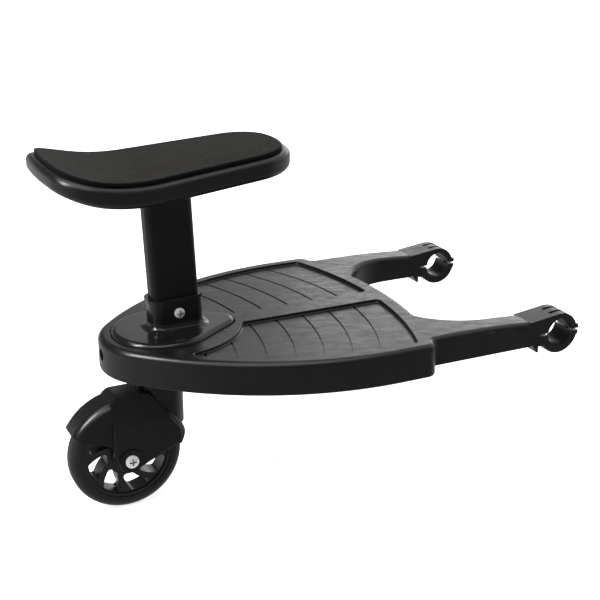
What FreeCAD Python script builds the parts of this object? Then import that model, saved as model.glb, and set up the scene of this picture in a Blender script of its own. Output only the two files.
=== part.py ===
import FreeCAD, Part
import math
import os
import re
import Sketcher
from FreeCAD import Placement, Rotation, Vector

os.makedirs("parts", exist_ok=True)
doc = FreeCAD.newDocument("buggy_board")

# Sizes in millimetres and degrees. The origin is halfway between the two clamps
# on the axis of their bores. X points forward to the stroller, Y left, Z up.
SIZES = [
    ("board_half_width", 143, "half the width of the standing board"),
    ("board_top", 18.5, "top of the board rim above the clamp axis"),
    ("board_depth", 13, "underside of the board below the clamp axis"),
    ("front_reach", 122.5, "clamp axis to the middle of the front edge"),
    ("front_radius", 390, "bow of the front edge"),
    ("corner_radius", 12, "front corners of the board"),
    ("tail_radius", 63, "round tail"),
    ("tail_centre", 361, "clamp axis to the centre of the tail"),
    ("side_straight", 27.8, "straight part of the sides behind the front corners"),
    ("side_start", "front_reach + front_radius + side_straight"
     " - sqrt((front_radius - corner_radius)^2 - (board_half_width - corner_radius)^2)",
     "clamp axis to the start of the sides' bow"),
    ("side_radius", "((tail_centre - side_start)^2 + board_half_width^2 - tail_radius^2)"
     " / (2*(board_half_width - tail_radius))", "bow of the sides towards the tail"),
    ("board_wall", 3.2, "wall of the hollow board"),
    ("board_plate", 3.2, "plate under the tread grooves"),
    ("rim_round", 6, "rounding of the board's upper edge"),
    ("foot_round", 2, "rounding of the board's lower edge"),
    ("panel_depth", 3, "tread panels below the rim"),
    ("groove_depth", 0.9, "depth of the tread grooves"),
    ("groove_width", 2.2, "width of a tread groove"),
    ("groove_margin", 2, "grooves from the edge of their panel"),
    ("tread_pitch", 28.2, "spacing of the tread grooves"),
    ("tread_count", 7, "tread grooves in a panel"),
    ("tread_bow", 265, "bow of the tread grooves"),
    ("spine_half_width", 13, "half the width of the rib between the panels"),
    ("panel_front_rim", 17, "rim between front edge and panel"),
    ("panel_side_rim", 13, "rim between side and panel"),
    ("panel_rear", 288, "clamp axis to the inner rear corner of the panels"),
    ("panel_tail", 364, "clamp axis to the rear tip of the panels"),
    ("panel_rear_radius", 87, "bow of the panels round the socket"),
    ("panel_round", 4, "corners of the panels"),
    ("panel_lip", 1, "rounding of the rim round a panel"),
    ("panel_cove", 1.6, "hollow rounding round the floor of a panel"),
    ("rib_width", 2.4, "ribs under the board"),
    ("rib_clearance", 3, "ribs above the board's lower edge"),
    ("cross_rib_reach", 190, "clamp axis to the first cross rib"),
    ("cross_rib_pitch", 48, "spacing of the cross ribs"),
    ("long_rib_offset", 62, "long ribs from the middle"),
    ("arm_margin", 14, "arms inside the sides of the board"),
    ("arm_width", 30, "width of an arm"),
    ("arm_outer", "board_half_width - arm_margin", "outer side of an arm from the middle"),
    ("arm_inner", "arm_outer - arm_width", "inner side of an arm from the middle"),
    ("arm_depth", 9, "underside of an arm below the clamp axis"),
    ("arm_root", 170, "clamp axis to the root of an arm in the board"),
    ("arm_top", 15.2, "top of an arm at its clamp"),
    ("arm_bow_start", 118, "clamp axis to the start of the arms' downward bow"),
    ("arm_end", "head_reach", "ends of the arms behind the middles of the clamps"),
    ("gusset_radius", 66, "hollow between arm and front edge"),
    ("gusset_end", 70, "clamp axis to the end of that hollow"),
    ("gusset_round", 12, "rounding where the hollow meets the front edge"),
    ("step_round", 5, "rounding where an arm meets the board's corner"),
    ("arm_wall", 3.6, "wall of the hollow arms"),
    ("arm_cell", 27, "length of a hollow cell in an arm"),
    ("arm_cell_pitch", 31, "spacing of those cells"),
    ("arm_cell_front", 46, "clamp axis to the first cell"),
    ("ring_width", 28, "width of a clamp"),
    ("clamp_inset", 1, "clamps inside the outer sides of the arms"),
    ("clamp_middle", "arm_outer - clamp_inset - 0.5*ring_width", "middle of a clamp from the middle"),
    ("ring_radius", 19.5, "outside of a clamp hook"),
    ("jaw_radius", 21.8, "outside of a clamp jaw"),
    ("bore_radius", 14, "bore of a clamp"),
    ("split_gap", 2.4, "gap between hook and jaw"),
    ("jaw_chamfer", 1, "chamfers round a jaw"),
    ("jaw_inset", 0.5, "jaw narrower than the hook on each side"),
    ("head_reach", 36, "clamp axis to the start of the clamp head"),
    ("ear_reach", 21.6, "clamp axis to the end of the front ears"),
    ("ear_thickness", 4, "front ears"),
    ("front_screw", 19, "clamp axis to the front clamp screw"),
    ("rear_screw", 18.7, "clamp axis to the rear clamp screw"),
    ("rear_ear_thickness", 10, "rear ear of a jaw"),
    ("rear_notch", 25, "clamp axis to the back of the jaw's notch"),
    ("rear_clearance", 1, "rear ear from the back of its notch"),
    ("prong_root", 32, "clamp axis to the root of the stop lug"),
    ("prong_tip", 26.6, "clamp axis to the tip of the stop lug"),
    ("prong_depth", 17, "stop lug below the clamp axis"),
    ("clamp_groove_depth", 2.4, "grooves round a clamp"),
    ("clamp_groove_width", 3.6, "width of those grooves"),
    ("clamp_groove_offset", 5.5, "grooves from the middle of a clamp"),
    ("clamp_screw_radius", 2, "clamp screws"),
    ("clamp_screw_length", 16, "clamp screws under the head"),
    ("clamp_head_radius", 3.5, "heads of the clamp screws"),
    ("clamp_head_height", 2.6, "height of those heads"),
    ("head_clearance", 0.6, "room round a screw head"),
    ("screw_clearance", 0.2, "holes larger than their screws in radius"),
    ("pilot_clearance", 0.02, "screw in its pilot hole"),
    ("clamp_nut_radius", 4, "corners of the clamp nuts"),
    ("clamp_nut_height", 3.2, "height of the clamp nuts"),
    ("tail_hole_radius", 5.5, "hole in the tail wall"),
    ("tail_hole_height", 4, "that hole above the clamp axis"),
    ("flange_recess", 2.5, "socket flange let into the board"),
    ("flange_gap", 1.2, "groove round the socket flange"),
    ("flange_height", 6.5, "thickness of the socket flange"),
    ("flange_round", 5, "rounding of the socket flange"),
    ("flange_rear_radius", 48, "broad end of the flange"),
    ("flange_rear_centre", 364, "clamp axis to the centre of the broad end"),
    ("flange_nose_radius", 16, "narrow end of the flange"),
    ("flange_nose_centre", 308, "clamp axis to the centre of the narrow end"),
    ("socket_floor", 2.5, "floor under the post in the socket"),
    ("collar_height", 37, "collar above the flange's underside"),
    ("collar_wall", 2.6, "wall of the collar"),
    ("collar_fillet", 7, "fillet between collar and flange"),
    ("collar_bead", 1.2, "bead round the collar's mouth"),
    ("collar_bead_height", 3, "height of that bead"),
    ("post_clearance", 0.1, "post in the collar"),
    ("post_reach", 350.5, "clamp axis to the foot of the post"),
    ("post_lean", 2.4, "backward lean of the post in degrees"),
    ("post_long", 46, "post section along the board"),
    ("post_short", 23, "post section across the board"),
    ("post_round", 8, "corners of the post section"),
    ("post_wall", 3, "wall of the post"),
    ("post_top_wall", 12, "top plate of the post"),
    ("post_bolt_height", 20, "cross bolt above the foot of the post"),
    ("post_bolt_radius", 2.5, "cross bolt"),
    ("post_bolt_head_radius", 5, "head of the cross bolt"),
    ("post_bolt_head_height", 3, "height of that head"),
    ("post_bolt_length", 36, "cross bolt under the head"),
    ("post_nut_radius", 4.6, "corners of the nut on the cross bolt"),
    ("post_nut_height", 4, "height of that nut"),
    ("socket_screw_radius", 2, "screws under the socket"),
    ("socket_screw_length", 8, "those screws under the head"),
    ("socket_screw_head", 4, "heads of those screws"),
    ("socket_screw_head_height", 2.4, "height of those heads"),
    ("socket_screw_rear", 394, "clamp axis to the rear pair"),
    ("socket_screw_rear_side", 26, "rear pair from the middle"),
    ("socket_screw_front", 322, "clamp axis to the front pair"),
    ("socket_screw_front_side", 13, "front pair from the middle"),
    ("seat_reach", 354, "clamp axis to the middle station of the seat"),
    ("seat_height", 176.6, "pan under the pad at its lowest place"),
    ("post_top_drop", 12.1, "top of the post below that place"),
    ("post_length", "seat_height - board_top + flange_recess - socket_floor - post_top_drop",
     "length of the post"),
    ("seat_dip", 25, "lowest place behind the middle station"),
    ("nose_rise", 12, "rise of the seat towards its nose"),
    ("kick_radius", 185, "upward sweep at the back of the seat"),
    ("pan_kick_radius", 172, "upward sweep of the pan's lower side"),
    ("pad_nose", 107, "pad in front of the middle station"),
    ("pad_back", 112, "pad behind the middle station"),
    ("pad_half_width", 65, "half the width of the pad"),
    ("pad_taper", 6, "taper of the pad's sides in degrees"),
    ("pad_nose_radius", 95, "bow of the pad's nose"),
    ("pad_nose_corner", 40, "corners of the pad's nose"),
    ("pad_back_radius", 260, "bow of the pad's back"),
    ("pad_back_corner", 31, "corners of the pad's back"),
    ("pad_thickness", 5, "thickness of the pad"),
    ("pad_round", 1.6, "rounding of the pad's upper edge"),
    ("pan_margin", 7.5, "pan wider than the pad all round"),
    ("pan_thickness", 18.5, "depth of the pan"),
    ("pan_top_round", 5.5, "rounding of the pan's upper edge"),
    ("pan_bottom_round", 7, "rounding of the pan's lower edge"),
    ("pan_wall", 11, "wall of the hollow pan at its lower edge"),
    ("pan_plate", 6, "plate over the hollow of the pan"),
    ("pan_post_depth", 9, "post let into the pan"),
    ("pan_boss_wall", 3.5, "wall of the pan round the post"),
    ("seat_screw_radius", 2, "screws through the pan into the post"),
    ("seat_screw_length", 12, "those screws under the head"),
    ("seat_screw_head", 4, "heads of those screws"),
    ("seat_screw_head_height", 2.2, "height of those heads"),
    ("seat_grip", 6, "pan between those heads and the post"),
    ("seat_screw_offset", 10, "those screws from the middle of the post"),
    ("swivel_reach", 372, "clamp axis to the swivel axis"),
    ("swivel_boss_radius", 27, "boss for the swivel under the board"),
    ("swivel_cavity_radius", 16, "room for the kingpin's nut"),
    ("swivel_cavity_floor", 4, "floor of that room above the clamp axis"),
    ("kingpin_radius", 6, "kingpin"),
    ("kingpin_grip", 22, "kingpin in the fork"),
    ("pin_chamfer", 0.8, "chamfers of the kingpin"),
    ("running_clearance", 0.05, "running fits in radius"),
    ("bush_radius", 9, "outside of the swivel bush"),
    ("bush_flange_radius", 16.4, "flange of the swivel bush"),
    ("bush_flange", 2, "thickness of that flange"),
    ("fork_clearance", 0.4, "fork from the bush's flange"),
    ("washer_radius", 12, "washer on the kingpin"),
    ("washer_thickness", 1.6, "thickness of that washer"),
    ("washer_clearance", 0.35, "washer from the board"),
    ("kingpin_nut_radius", 10.4, "corners of the kingpin's nut"),
    ("kingpin_nut_height", 7, "height of that nut"),
    ("kingpin_end", 0.8, "kingpin above its nut"),
    ("wheel_reach", 407, "clamp axis to the wheel's axle"),
    ("wheel_drop", 99, "wheel's axle below the clamp axis"),
    ("wheel_radius", 55, "wheel with its tyre"),
    ("wheel_width", 24, "width of the wheel"),
    ("hood_clearance", 3.5, "hood from the tyre"),
    ("hood_wall", 2.2, "wall of the hood"),
    ("hood_half_width", 20, "half the width of the hood"),
    ("hood_round", 10, "rounding of the hood"),
    ("hood_lip_back", 52.5, "lip of the hood behind the axle"),
    ("hood_foot", 16, "lower edge of the hood's sides above the axle"),
    ("hood_front_rise", 18, "front end of the hood above the axle"),
    ("cheek_half_width", 22.5, "cheeks of the fork from the middle"),
    ("cheek_round", 1.5, "rounding of the cheeks"),
    ("cheek_back", 16, "cheeks behind the axle"),
    ("cheek_front", 51.5, "cheeks in front of the axle"),
    ("cheek_top", 63, "cheeks above the axle"),
    ("cheek_top_round", 12, "rounding of the cheeks' upper corners"),
    ("lean_foot", 36, "start of the cheeks' inward lean above the axle"),
    ("lean_half_width", 14.5, "cheeks from the middle at the top of that lean"),
    ("cheek_shoulder", 22.5, "upper end of the cheeks' slope in front of the axle"),
    ("cheek_slope", 49.5, "lower end of that slope in front of the axle"),
    ("cheek_slope_foot", 25, "lower end of that slope above the axle"),
    ("cheek_foot", 7, "front foot of the cheeks above the axle"),
    ("cheek_corner", 7, "front foot of the cheeks, rounded"),
    ("axle_boss_radius", 13, "boss round the axle"),
    ("axle_boss_half_width", 24, "boss ends from the middle"),
    ("slot_side", 2.5, "cheeks from the sides of the wheel"),
    ("crown_radius", 17, "rounded ends of the fork's crown"),
    ("crown_shift", 8.4, "front end of the crown ahead of the swivel axis"),
    ("crown_depth", 74, "crown below the clamp axis"),
    ("crown_round", 3, "rounding of the crown"),
    ("axle_radius", 4, "axle"),
    ("axle_clearance", 0.1, "axle in the cheeks"),
    ("axle_head_radius", 6.4, "head of the axle"),
    ("axle_head_height", 3.2, "height of that head"),
    ("axle_nut_radius", 7.5, "corners of the axle's nut"),
    ("axle_nut_height", 6.5, "height of that nut"),
    ("axle_length", 56, "axle under its head"),
    ("spacer_radius", 6.2, "spacers beside the wheel"),
    ("spacer_clearance", 0.35, "spacers from the bearings"),
    ("rim_radius", 43.5, "seat of the tyre"),
    ("rim_inner_radius", 40, "inside of the rim ring"),
    ("rim_side", 1.2, "rim narrower than the tyre on each side"),
    ("web_width", 18, "width of the spokes"),
    ("hub_radius", 15.5, "hub"),
    ("spoke_count", 8, "spokes"),
    ("gap_inner", 20, "inner end of a gap between spokes"),
    ("gap_outer", 38.5, "outer end of a gap between spokes"),
    ("gap_phase", 21.5, "turn of the gaps from the wheel's front in degrees"),
    ("gap_lead", -23, "sweep of the gaps at their inner end in degrees"),
    ("gap_outer_angle", 16.5, "half the opening of a gap at its outer end in degrees"),
    ("gap_inner_angle", 14, "half the opening of a gap at its inner end in degrees"),
    ("gap_bow", 34, "bow of the spokes"),
    ("gap_round", 3, "corners of the gaps between spokes"),
    ("bearing_radius", 11, "bearings"),
    ("bearing_width", 7, "width of a bearing"),
    ("bearing_shield", 0.6, "bearing shields below the rings"),
    ("bearing_ring", 2, "rings of a bearing"),
    ("hub_bore", 9.2, "hub between the bearings"),
    ("sleeve_radius", 6, "sleeve between the bearings"),
    ("sleeve_clearance", 0.2, "sleeve from the axle"),
    ("tyre_shoulder", 9, "rounding of the tyre's shoulders"),
    ("cross_slot_width", 1.5, "cross slot of the screws"),
    ("cross_slot_depth", 1.6, "depth of the cross slot"),
]

sheet = doc.addObject("Spreadsheet::Sheet", "sizes")
for row, (alias, value, note) in enumerate(SIZES, start=1):
    sheet.set(f"A{row}", note)
    sheet.set(f"B{row}", "=" + value if isinstance(value, str) else str(value))
    sheet.setAlias(f"B{row}", alias)
doc.recompute()

TERM = re.compile(r"([+-]?)\s*(?:(\d+(?:\.\d+)?)\s*\*\s*)?([a-z][a-z_]*|\d+(?:\.\d+)?)")


def number(text):
    """Value of a sum of sizes such as "0.5*ring_width - jaw_inset"."""
    total = 0.0
    for sign, factor, name in TERM.findall(text):
        value = sheet.get(name) if name[0].isalpha() else float(name)
        value = value * float(factor or 1)
        total += -value if sign == "-" else value
    return total


def formula(text):
    """The same sum as an expression on the sheet."""
    return re.sub(r"[a-z][a-z_]*", lambda match: "sizes." + match.group(0), text)


def tie(item, prop, text):
    """Bind a property to a sum of sizes."""
    item.setExpression(prop, formula(text))


def new_body(name):
    body = doc.addObject("PartDesign::Body", name)
    body.Label = name
    return body


def origin_item(body, role):
    return [item for item in body.Origin.OriginFeatures if item.Role == role][0]


def new_sketch(body, plane, name, lift="0", forward="0", lean=None):
    """Sketch on a main plane, lifted along its normal and leaned backwards when asked."""
    sketch = body.newObject("Sketcher::SketchObject", name)
    sketch.AttachmentSupport = [(origin_item(body, plane), "")]
    sketch.MapMode = "FlatFace"
    turn = Rotation(Vector(0, -1, 0), number(lean)) if lean else Rotation()
    sketch.AttachmentOffset = Placement(Vector(number(forward), 0, number(lift)), turn)
    tie(sketch, "AttachmentOffset.Base.z", lift)
    tie(sketch, "AttachmentOffset.Base.x", forward)
    if lean:
        tie(sketch, "AttachmentOffset.Rotation.Angle", lean)
    return sketch


def hold(sketch, geometry, point, place):
    """Fix a point where its coordinates are given as sums of sizes."""
    for axis, item, kind in ((-2, place[0], "DistanceX"), (-1, place[1], "DistanceY")):
        if not isinstance(item, (str, tuple)):
            continue
        if item == "0":
            sketch.addConstraint(Sketcher.Constraint("PointOnObject", geometry, point, axis))
            continue
        limit = Sketcher.Constraint(kind, -1, 1, geometry, point, amount(item))
        index = sketch.addConstraint(limit)
        sketch.setExpression(f"Constraints[{index}]", expression(item))


def amount(item):
    """Number behind a sum of sizes, a value with its expression, or a plain number."""
    if isinstance(item, str):
        return number(item)
    return item[0] if isinstance(item, tuple) else item


def expression(item):
    """Expression behind a sum of sizes or a value with its expression."""
    return formula(item) if isinstance(item, str) else item[1]


def guess(place):
    return Vector(amount(place[0]), amount(place[1]), 0)


def arc(radius, turn, centre=(None, None)):
    """Side of an outline: turn 1 runs anticlockwise, -1 clockwise."""
    return (radius, turn, centre)


def outline(sketch, corners, sides, smooth=()):
    """Closed outline. Coordinates given as text are fixed, plain numbers are found by the sketch."""
    count = len(corners)
    ends = []
    for index in range(count):
        start = guess(corners[index])
        stop = guess(corners[(index + 1) % count])
        side = sides[index]
        if side is None:
            ends.append((sketch.addGeometry(Part.LineSegment(start, stop)), 1, 2))
            continue
        radius, turn, centre = side
        size = number(radius) if isinstance(radius, str) else radius
        chord = stop - start
        rise = math.sqrt(max(size ** 2 - chord.Length ** 2 / 4, 0))
        left = Vector(-chord.y, chord.x, 0).normalize()
        middle = (start + stop) * 0.5 + left * rise * turn
        first, last = (start, stop) if turn > 0 else (stop, start)
        angles = [math.atan2(end.y - middle.y, end.x - middle.x) for end in (first, last)]
        if angles[1] < angles[0]:
            angles[1] += 2 * math.pi
        circle = Part.Circle(middle, Vector(0, 0, 1), size)
        item = sketch.addGeometry(Part.ArcOfCircle(circle, angles[0], angles[1]))
        ends.append((item, 1, 2) if turn > 0 else (item, 2, 1))
    for index in range(count):
        before = ends[index - 1]
        after = ends[index]
        kind = "Tangent" if index in smooth else "Coincident"
        sketch.addConstraint(Sketcher.Constraint(kind, before[0], before[2], after[0], after[1]))
    for index in range(count):
        hold(sketch, ends[index][0], ends[index][1], corners[index])
        if sides[index] is None:
            continue
        radius, turn, centre = sides[index]
        if isinstance(radius, str):
            limit = Sketcher.Constraint("Radius", ends[index][0], number(radius))
            tie(sketch, f"Constraints[{sketch.addConstraint(limit)}]", radius)
        hold(sketch, ends[index][0], 3, centre)
    return [end[0] for end in ends]


def ring(sketch, place, radius):
    """Circle with its centre fixed by sums of sizes."""
    circle = Part.Circle(guess(place), Vector(0, 0, 1), number(radius))
    item = sketch.addGeometry(circle)
    limit = Sketcher.Constraint("Radius", item, number(radius))
    tie(sketch, f"Constraints[{sketch.addConstraint(limit)}]", radius)
    hold(sketch, item, 3, place)
    return item


def solid_of(body, kind, name, sketch, length, both=False, flip=False):
    """Pad or pocket of a sketch."""
    feature = body.newObject("PartDesign::" + kind, name)
    feature.Profile = sketch
    tie(feature, "Length", length)
    feature.SideType = "Symmetric" if both else "One side"
    feature.Reversed = flip
    sketch.Visibility = False
    doc.recompute()
    return feature


def pad(body, name, sketch, length, both=False, flip=False):
    return solid_of(body, "Pad", name, sketch, length, both, flip)


def pocket(body, name, sketch, length, both=False, flip=False):
    return solid_of(body, "Pocket", name, sketch, length, both, flip)


def spin(body, name, sketch, axis, cut=False):
    """Full turn of a sketch about a main axis."""
    feature = body.newObject("PartDesign::Groove" if cut else "PartDesign::Revolution", name)
    feature.Profile = sketch
    feature.ReferenceAxis = (origin_item(body, axis), [""])
    feature.Angle = 360
    doc.recompute()
    return feature


def edges_where(feature, wanted):
    """Names of the edges for which a test holds."""
    edges = feature.Shape.Edges
    return [f"Edge{index}" for index, edge in enumerate(edges, start=1) if wanted(edge)]


def rounded(body, name, base, wanted, radius, kind="Fillet"):
    """Fillet or chamfer on the edges for which a test holds."""
    names = edges_where(base, wanted)
    feature = body.newObject("PartDesign::" + kind, name)
    feature.Base = (base, names)
    tie(feature, "Radius" if kind == "Fillet" else "Size", radius)
    doc.recompute()
    return feature


def mirror_half(body, name):
    """Second half of a symmetric body."""
    feature = body.newObject("PartDesign::Mirrored", name)
    feature.MirrorPlane = (origin_item(body, "XZ_Plane"), [""])
    feature.TransformMode = "Whole shape"
    body.Tip = feature
    doc.recompute()
    return feature


def mirrored_copy(name, source):
    """Copy on the other side of the middle plane."""
    copy = doc.addObject("Part::Mirroring", name)
    copy.Label = name
    copy.Source = source
    copy.Normal = Vector(0, 1, 0)
    copy.Base = Vector(0, 0, 0)
    doc.recompute()
    return copy


def group(name, members):
    """Node made of separate equal solids."""
    compound = doc.addObject("Part::Compound", name)
    compound.Label = name
    compound.Links = members
    doc.recompute()
    return compound


def spread(edge, axis):
    """Extent of an edge along one axis."""
    box = edge.BoundBox
    return {"x": box.XLength, "y": box.YLength, "z": box.ZLength}[axis]


def level(edge, height):
    """True where an edge lies flat at a height."""
    box = edge.BoundBox
    return abs(box.ZMin - height) < 1e-3 and abs(box.ZMax - height) < 1e-3


def on_middle(edge):
    """True where an edge lies in the middle plane."""
    box = edge.BoundBox
    return abs(box.YMin) < 1e-3 and abs(box.YMax) < 1e-3


# Deck: left half with arm and clamp hook, then the mirrored half
def board_half(sketch, inset):
    """Half outline of the board, smaller by an inset."""
    front = number("front_radius") - number(inset)
    half = number("board_half_width") - number(inset)
    corner = number("corner_radius") - number(inset)
    side = number("side_radius") - number(inset)
    tail = number("tail_radius") - number(inset)
    bow = -number("front_reach") - number("front_radius")
    corner_x = bow + math.sqrt((front - corner) ** 2 - (half - corner) ** 2)
    share = front / (front - corner)
    meet = (bow + (corner_x - bow) * share, (half - corner) * share)
    run = math.sqrt((side - tail) ** 2 - (side - half) ** 2)
    side_x = run - number("tail_centre")
    share = tail / (side - tail)
    join = (-number("tail_centre") - run * share, (side - half) * share)
    less = "" if inset == "0" else " - " + inset
    corners = [
        ("-front_reach" + less, "0"),
        meet,
        (corner_x, "board_half_width" + less),
        (side_x, "board_half_width" + less),
        join,
        (-number("tail_centre") - tail, "0"),
    ]
    sides = [
        arc("front_radius" + less, 1, (None, "0")),
        arc("corner_radius" + less, 1),
        None,
        arc("side_radius" + less, 1),
        arc("tail_radius" + less, 1, ("-tail_centre", "0")),
        None,
    ]
    outline(sketch, corners, sides, smooth=(1, 2, 3, 4))


def bow_radius():
    """Radius of the bow that starts level and falls to the clamp."""
    run = number("arm_bow_start - arm_end")
    drop = number("board_top - arm_top")
    return (run ** 2 + drop ** 2) / (2 * drop)


def top_height(x):
    """Height of the upper side of board and arms."""
    run = max(x + number("arm_bow_start"), 0)
    return number("board_top") - bow_radius() + math.sqrt(bow_radius() ** 2 - run ** 2)


def on_top(edge):
    """True for the outer edges of the upper side."""
    box = edge.BoundBox
    across = spread(edge, "x") < 1e-3 and box.XMin > -number("arm_bow_start") - 1e-3
    if across or on_middle(edge):
        return False
    stations = [edge.FirstParameter, edge.LastParameter, 0.5 * (edge.FirstParameter + edge.LastParameter)]
    points = [edge.valueAt(station) for station in stations]
    return all(abs(point.z - top_height(point.x)) < 1e-2 for point in points)


deck = new_body("deck")
board_sketch = new_sketch(deck, "XY_Plane", "board_outline", "-board_depth")
board_half(board_sketch, "0")
board_pad = pad(deck, "board", board_sketch, "board_depth + board_top")

arm_sketch = new_sketch(deck, "XY_Plane", "arm_outline", "-arm_depth")
outline(
    arm_sketch,
    [
        ("-gusset_end - gusset_radius", "arm_inner - gusset_radius"),
        ("-gusset_end", "arm_inner"),
        ("-arm_end", "arm_inner"),
        ("-arm_end", "arm_outer"),
        ("-arm_root", "arm_outer"),
    ],
    [arc("gusset_radius", -1), None, None, None, None],
)
arm_pad = pad(deck, "arm", arm_sketch, "arm_depth + board_top")
bow_sketch = new_sketch(deck, "XZ_Plane", "arm_bow_outline", "-clamp_middle")
outline(
    bow_sketch,
    [("-arm_bow_start", "board_top"), ("-arm_end", "arm_top"), ("-arm_end", "2*board_top"),
     ("-arm_bow_start", "2*board_top")],
    [arc(bow_radius(), -1, ("-arm_bow_start", None)), None, None, None],
)
arm_bow = pocket(deck, "arm_bow", bow_sketch, "4*clamp_middle", both=True)


def front_edge(y):
    """Station of the bowed front edge at a distance from the middle."""
    return math.sqrt(number("front_radius") ** 2 - y ** 2) - number("front_radius + front_reach")


def gusset_corner():
    """Where the hollow beside an arm meets the front edge."""
    x = -number("front_reach")
    for _ in range(60):
        run = x + number("gusset_end")
        y = number("arm_inner - gusset_radius") + math.sqrt(number("gusset_radius") ** 2 - run ** 2)
        x = 0.5 * (x + front_edge(y))
    return x, y


def upright_at(edge, place):
    """True for an upright edge at a place in plan."""
    box = edge.BoundBox
    upright = spread(edge, "x") < 1e-3 and spread(edge, "y") < 1e-3
    return upright and math.hypot(box.XMin - place[0], box.YMin - place[1]) < number("0.5*step_round")


gusset_place = gusset_corner()
gusset = rounded(
    deck, "gusset_rounding", arm_bow, lambda edge: upright_at(edge, gusset_place), "gusset_round")
step_place = (front_edge(number("arm_outer")), number("arm_outer"))
step = rounded(
    deck, "step_rounding", gusset, lambda edge: upright_at(edge, step_place), "step_round")
rim = rounded(deck, "rim_rounding", step, on_top, "rim_round")
foot = rounded(
    deck, "foot_rounding", rim,
    lambda edge: level(edge, -number("board_depth")) and not on_middle(edge), "foot_round")

# Hollow underside with a boss for the swivel and stiffening ribs
hollow_sketch = new_sketch(deck, "XY_Plane", "hollow_outline", "-board_depth")
board_half(hollow_sketch, "board_wall")
HOLLOW = "board_depth + board_top - panel_depth - groove_depth - board_plate"
hollow = pocket(deck, "hollow", hollow_sketch, HOLLOW, flip=True)

boss_sketch = new_sketch(deck, "XY_Plane", "boss_outline", "-board_depth")
outline(
    boss_sketch,
    [("-swivel_reach + swivel_boss_radius", "0"), ("-swivel_reach", "swivel_boss_radius"),
     ("-swivel_reach - swivel_boss_radius", "0")],
    [arc("swivel_boss_radius", 1), arc("swivel_boss_radius", 1), None],
)
boss = pad(deck, "swivel_boss", boss_sketch, HOLLOW)

cross_sketch = new_sketch(deck, "XY_Plane", "cross_rib_outline", "rib_clearance - board_depth")
outline(
    cross_sketch,
    [("-cross_rib_reach", "0"), ("-cross_rib_reach", "board_half_width - 2*board_wall"),
     ("-cross_rib_reach - rib_width", "board_half_width - 2*board_wall"),
     ("-cross_rib_reach - rib_width", "0")],
    [None] * 4,
)
cross_rib = pad(deck, "cross_rib", cross_sketch, HOLLOW + " - rib_clearance")
cross_ribs = deck.newObject("PartDesign::LinearPattern", "cross_ribs")
cross_ribs.Originals = [cross_rib]
cross_ribs.Direction = (origin_item(deck, "X_Axis"), [""])
cross_ribs.Reversed = True
cross_ribs.Mode = "Spacing"
tie(cross_ribs, "Offset", "cross_rib_pitch")
cross_ribs.Occurrences = 2
deck.Tip = cross_ribs
doc.recompute()

long_sketch = new_sketch(deck, "XY_Plane", "long_rib_outline", "rib_clearance - board_depth")
outline(
    long_sketch,
    [("-front_reach - 4*board_wall", "long_rib_offset"),
     ("-front_reach - 4*board_wall", "long_rib_offset + rib_width"),
     ("-tail_centre", "long_rib_offset + rib_width"), ("-tail_centre", "long_rib_offset")],
    [None] * 4,
)
long_rib = pad(deck, "long_rib", long_sketch, HOLLOW + " - rib_clearance")

middle_sketch = new_sketch(deck, "XY_Plane", "middle_rib_outline", "rib_clearance - board_depth")
outline(
    middle_sketch,
    [("-front_reach - board_wall", "0"), ("-front_reach - board_wall", "0.5*rib_width"),
     ("-swivel_reach", "0.5*rib_width"), ("-swivel_reach", "0")],
    [None] * 4,
)
middle_rib = pad(deck, "middle_rib", middle_sketch, HOLLOW + " - rib_clearance")

cell_sketch = new_sketch(deck, "XY_Plane", "arm_cell_outline", "-arm_depth")
outline(
    cell_sketch,
    [("-arm_cell_front - arm_cell", "arm_inner + arm_wall"),
     ("-arm_cell_front", "arm_inner + arm_wall"),
     ("-arm_cell_front", "arm_outer - arm_wall"),
     ("-arm_cell_front - arm_cell", "arm_outer - arm_wall")],
    [None] * 4,
)
cell = pocket(deck, "arm_cell", cell_sketch, "arm_depth + arm_top - arm_wall", flip=True)
cells = deck.newObject("PartDesign::LinearPattern", "arm_cells")
cells.Originals = [cell]
cells.Direction = (origin_item(deck, "X_Axis"), [""])
cells.Reversed = True
cells.Mode = "Spacing"
tie(cells, "Offset", "arm_cell_pitch")
cells.Occurrences = 3
deck.Tip = cells
doc.recompute()


# Tread panel with curved grooves in its floor
def panel_half(sketch, inset=""):
    """Panel outline: bowed front, straight side, tail sweep and a hollow back round the socket."""
    gap = number("0" + inset)
    back = inset.replace("+", "-")
    bow = -number("front_reach") - number("front_radius")
    front = number("front_radius") - number("panel_front_rim") - gap
    side = number("board_half_width") - number("panel_side_rim") - gap
    sweep = number("side_radius") - number("panel_side_rim") - gap
    run = (number("side_radius") - number("tail_radius")) ** 2
    run = math.sqrt(run - (number("side_radius") - number("board_half_width")) ** 2)
    side_x = run - number("tail_centre")
    tip_x = number("panel_tail") - 2 * gap + side_x
    tip_y = side - sweep + math.sqrt(sweep ** 2 - tip_x ** 2)
    spine = number("spine_half_width") + gap
    side_place = (
        side_x,
        "sqrt((sizes.side_radius - sizes.tail_radius)^2"
        " - (sizes.side_radius - sizes.board_half_width)^2) - sizes.tail_centre",
    )
    outline(
        sketch,
        [
            (bow + math.sqrt(front ** 2 - spine ** 2), "spine_half_width" + inset),
            (bow + math.sqrt(front ** 2 - side ** 2), "board_half_width - panel_side_rim" + back),
            (side_place, "board_half_width - panel_side_rim" + back),
            ("-panel_tail" + inset + inset, tip_y),
            ("-panel_rear" + inset, "spine_half_width" + inset),
        ],
        [
            arc("front_radius - panel_front_rim" + back, 1, ("-front_reach - front_radius", "0")),
            None,
            arc("side_radius - panel_side_rim" + back, 1),
            arc("panel_rear_radius", -1),
            None,
        ],
        smooth=(2,),
    )


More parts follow.
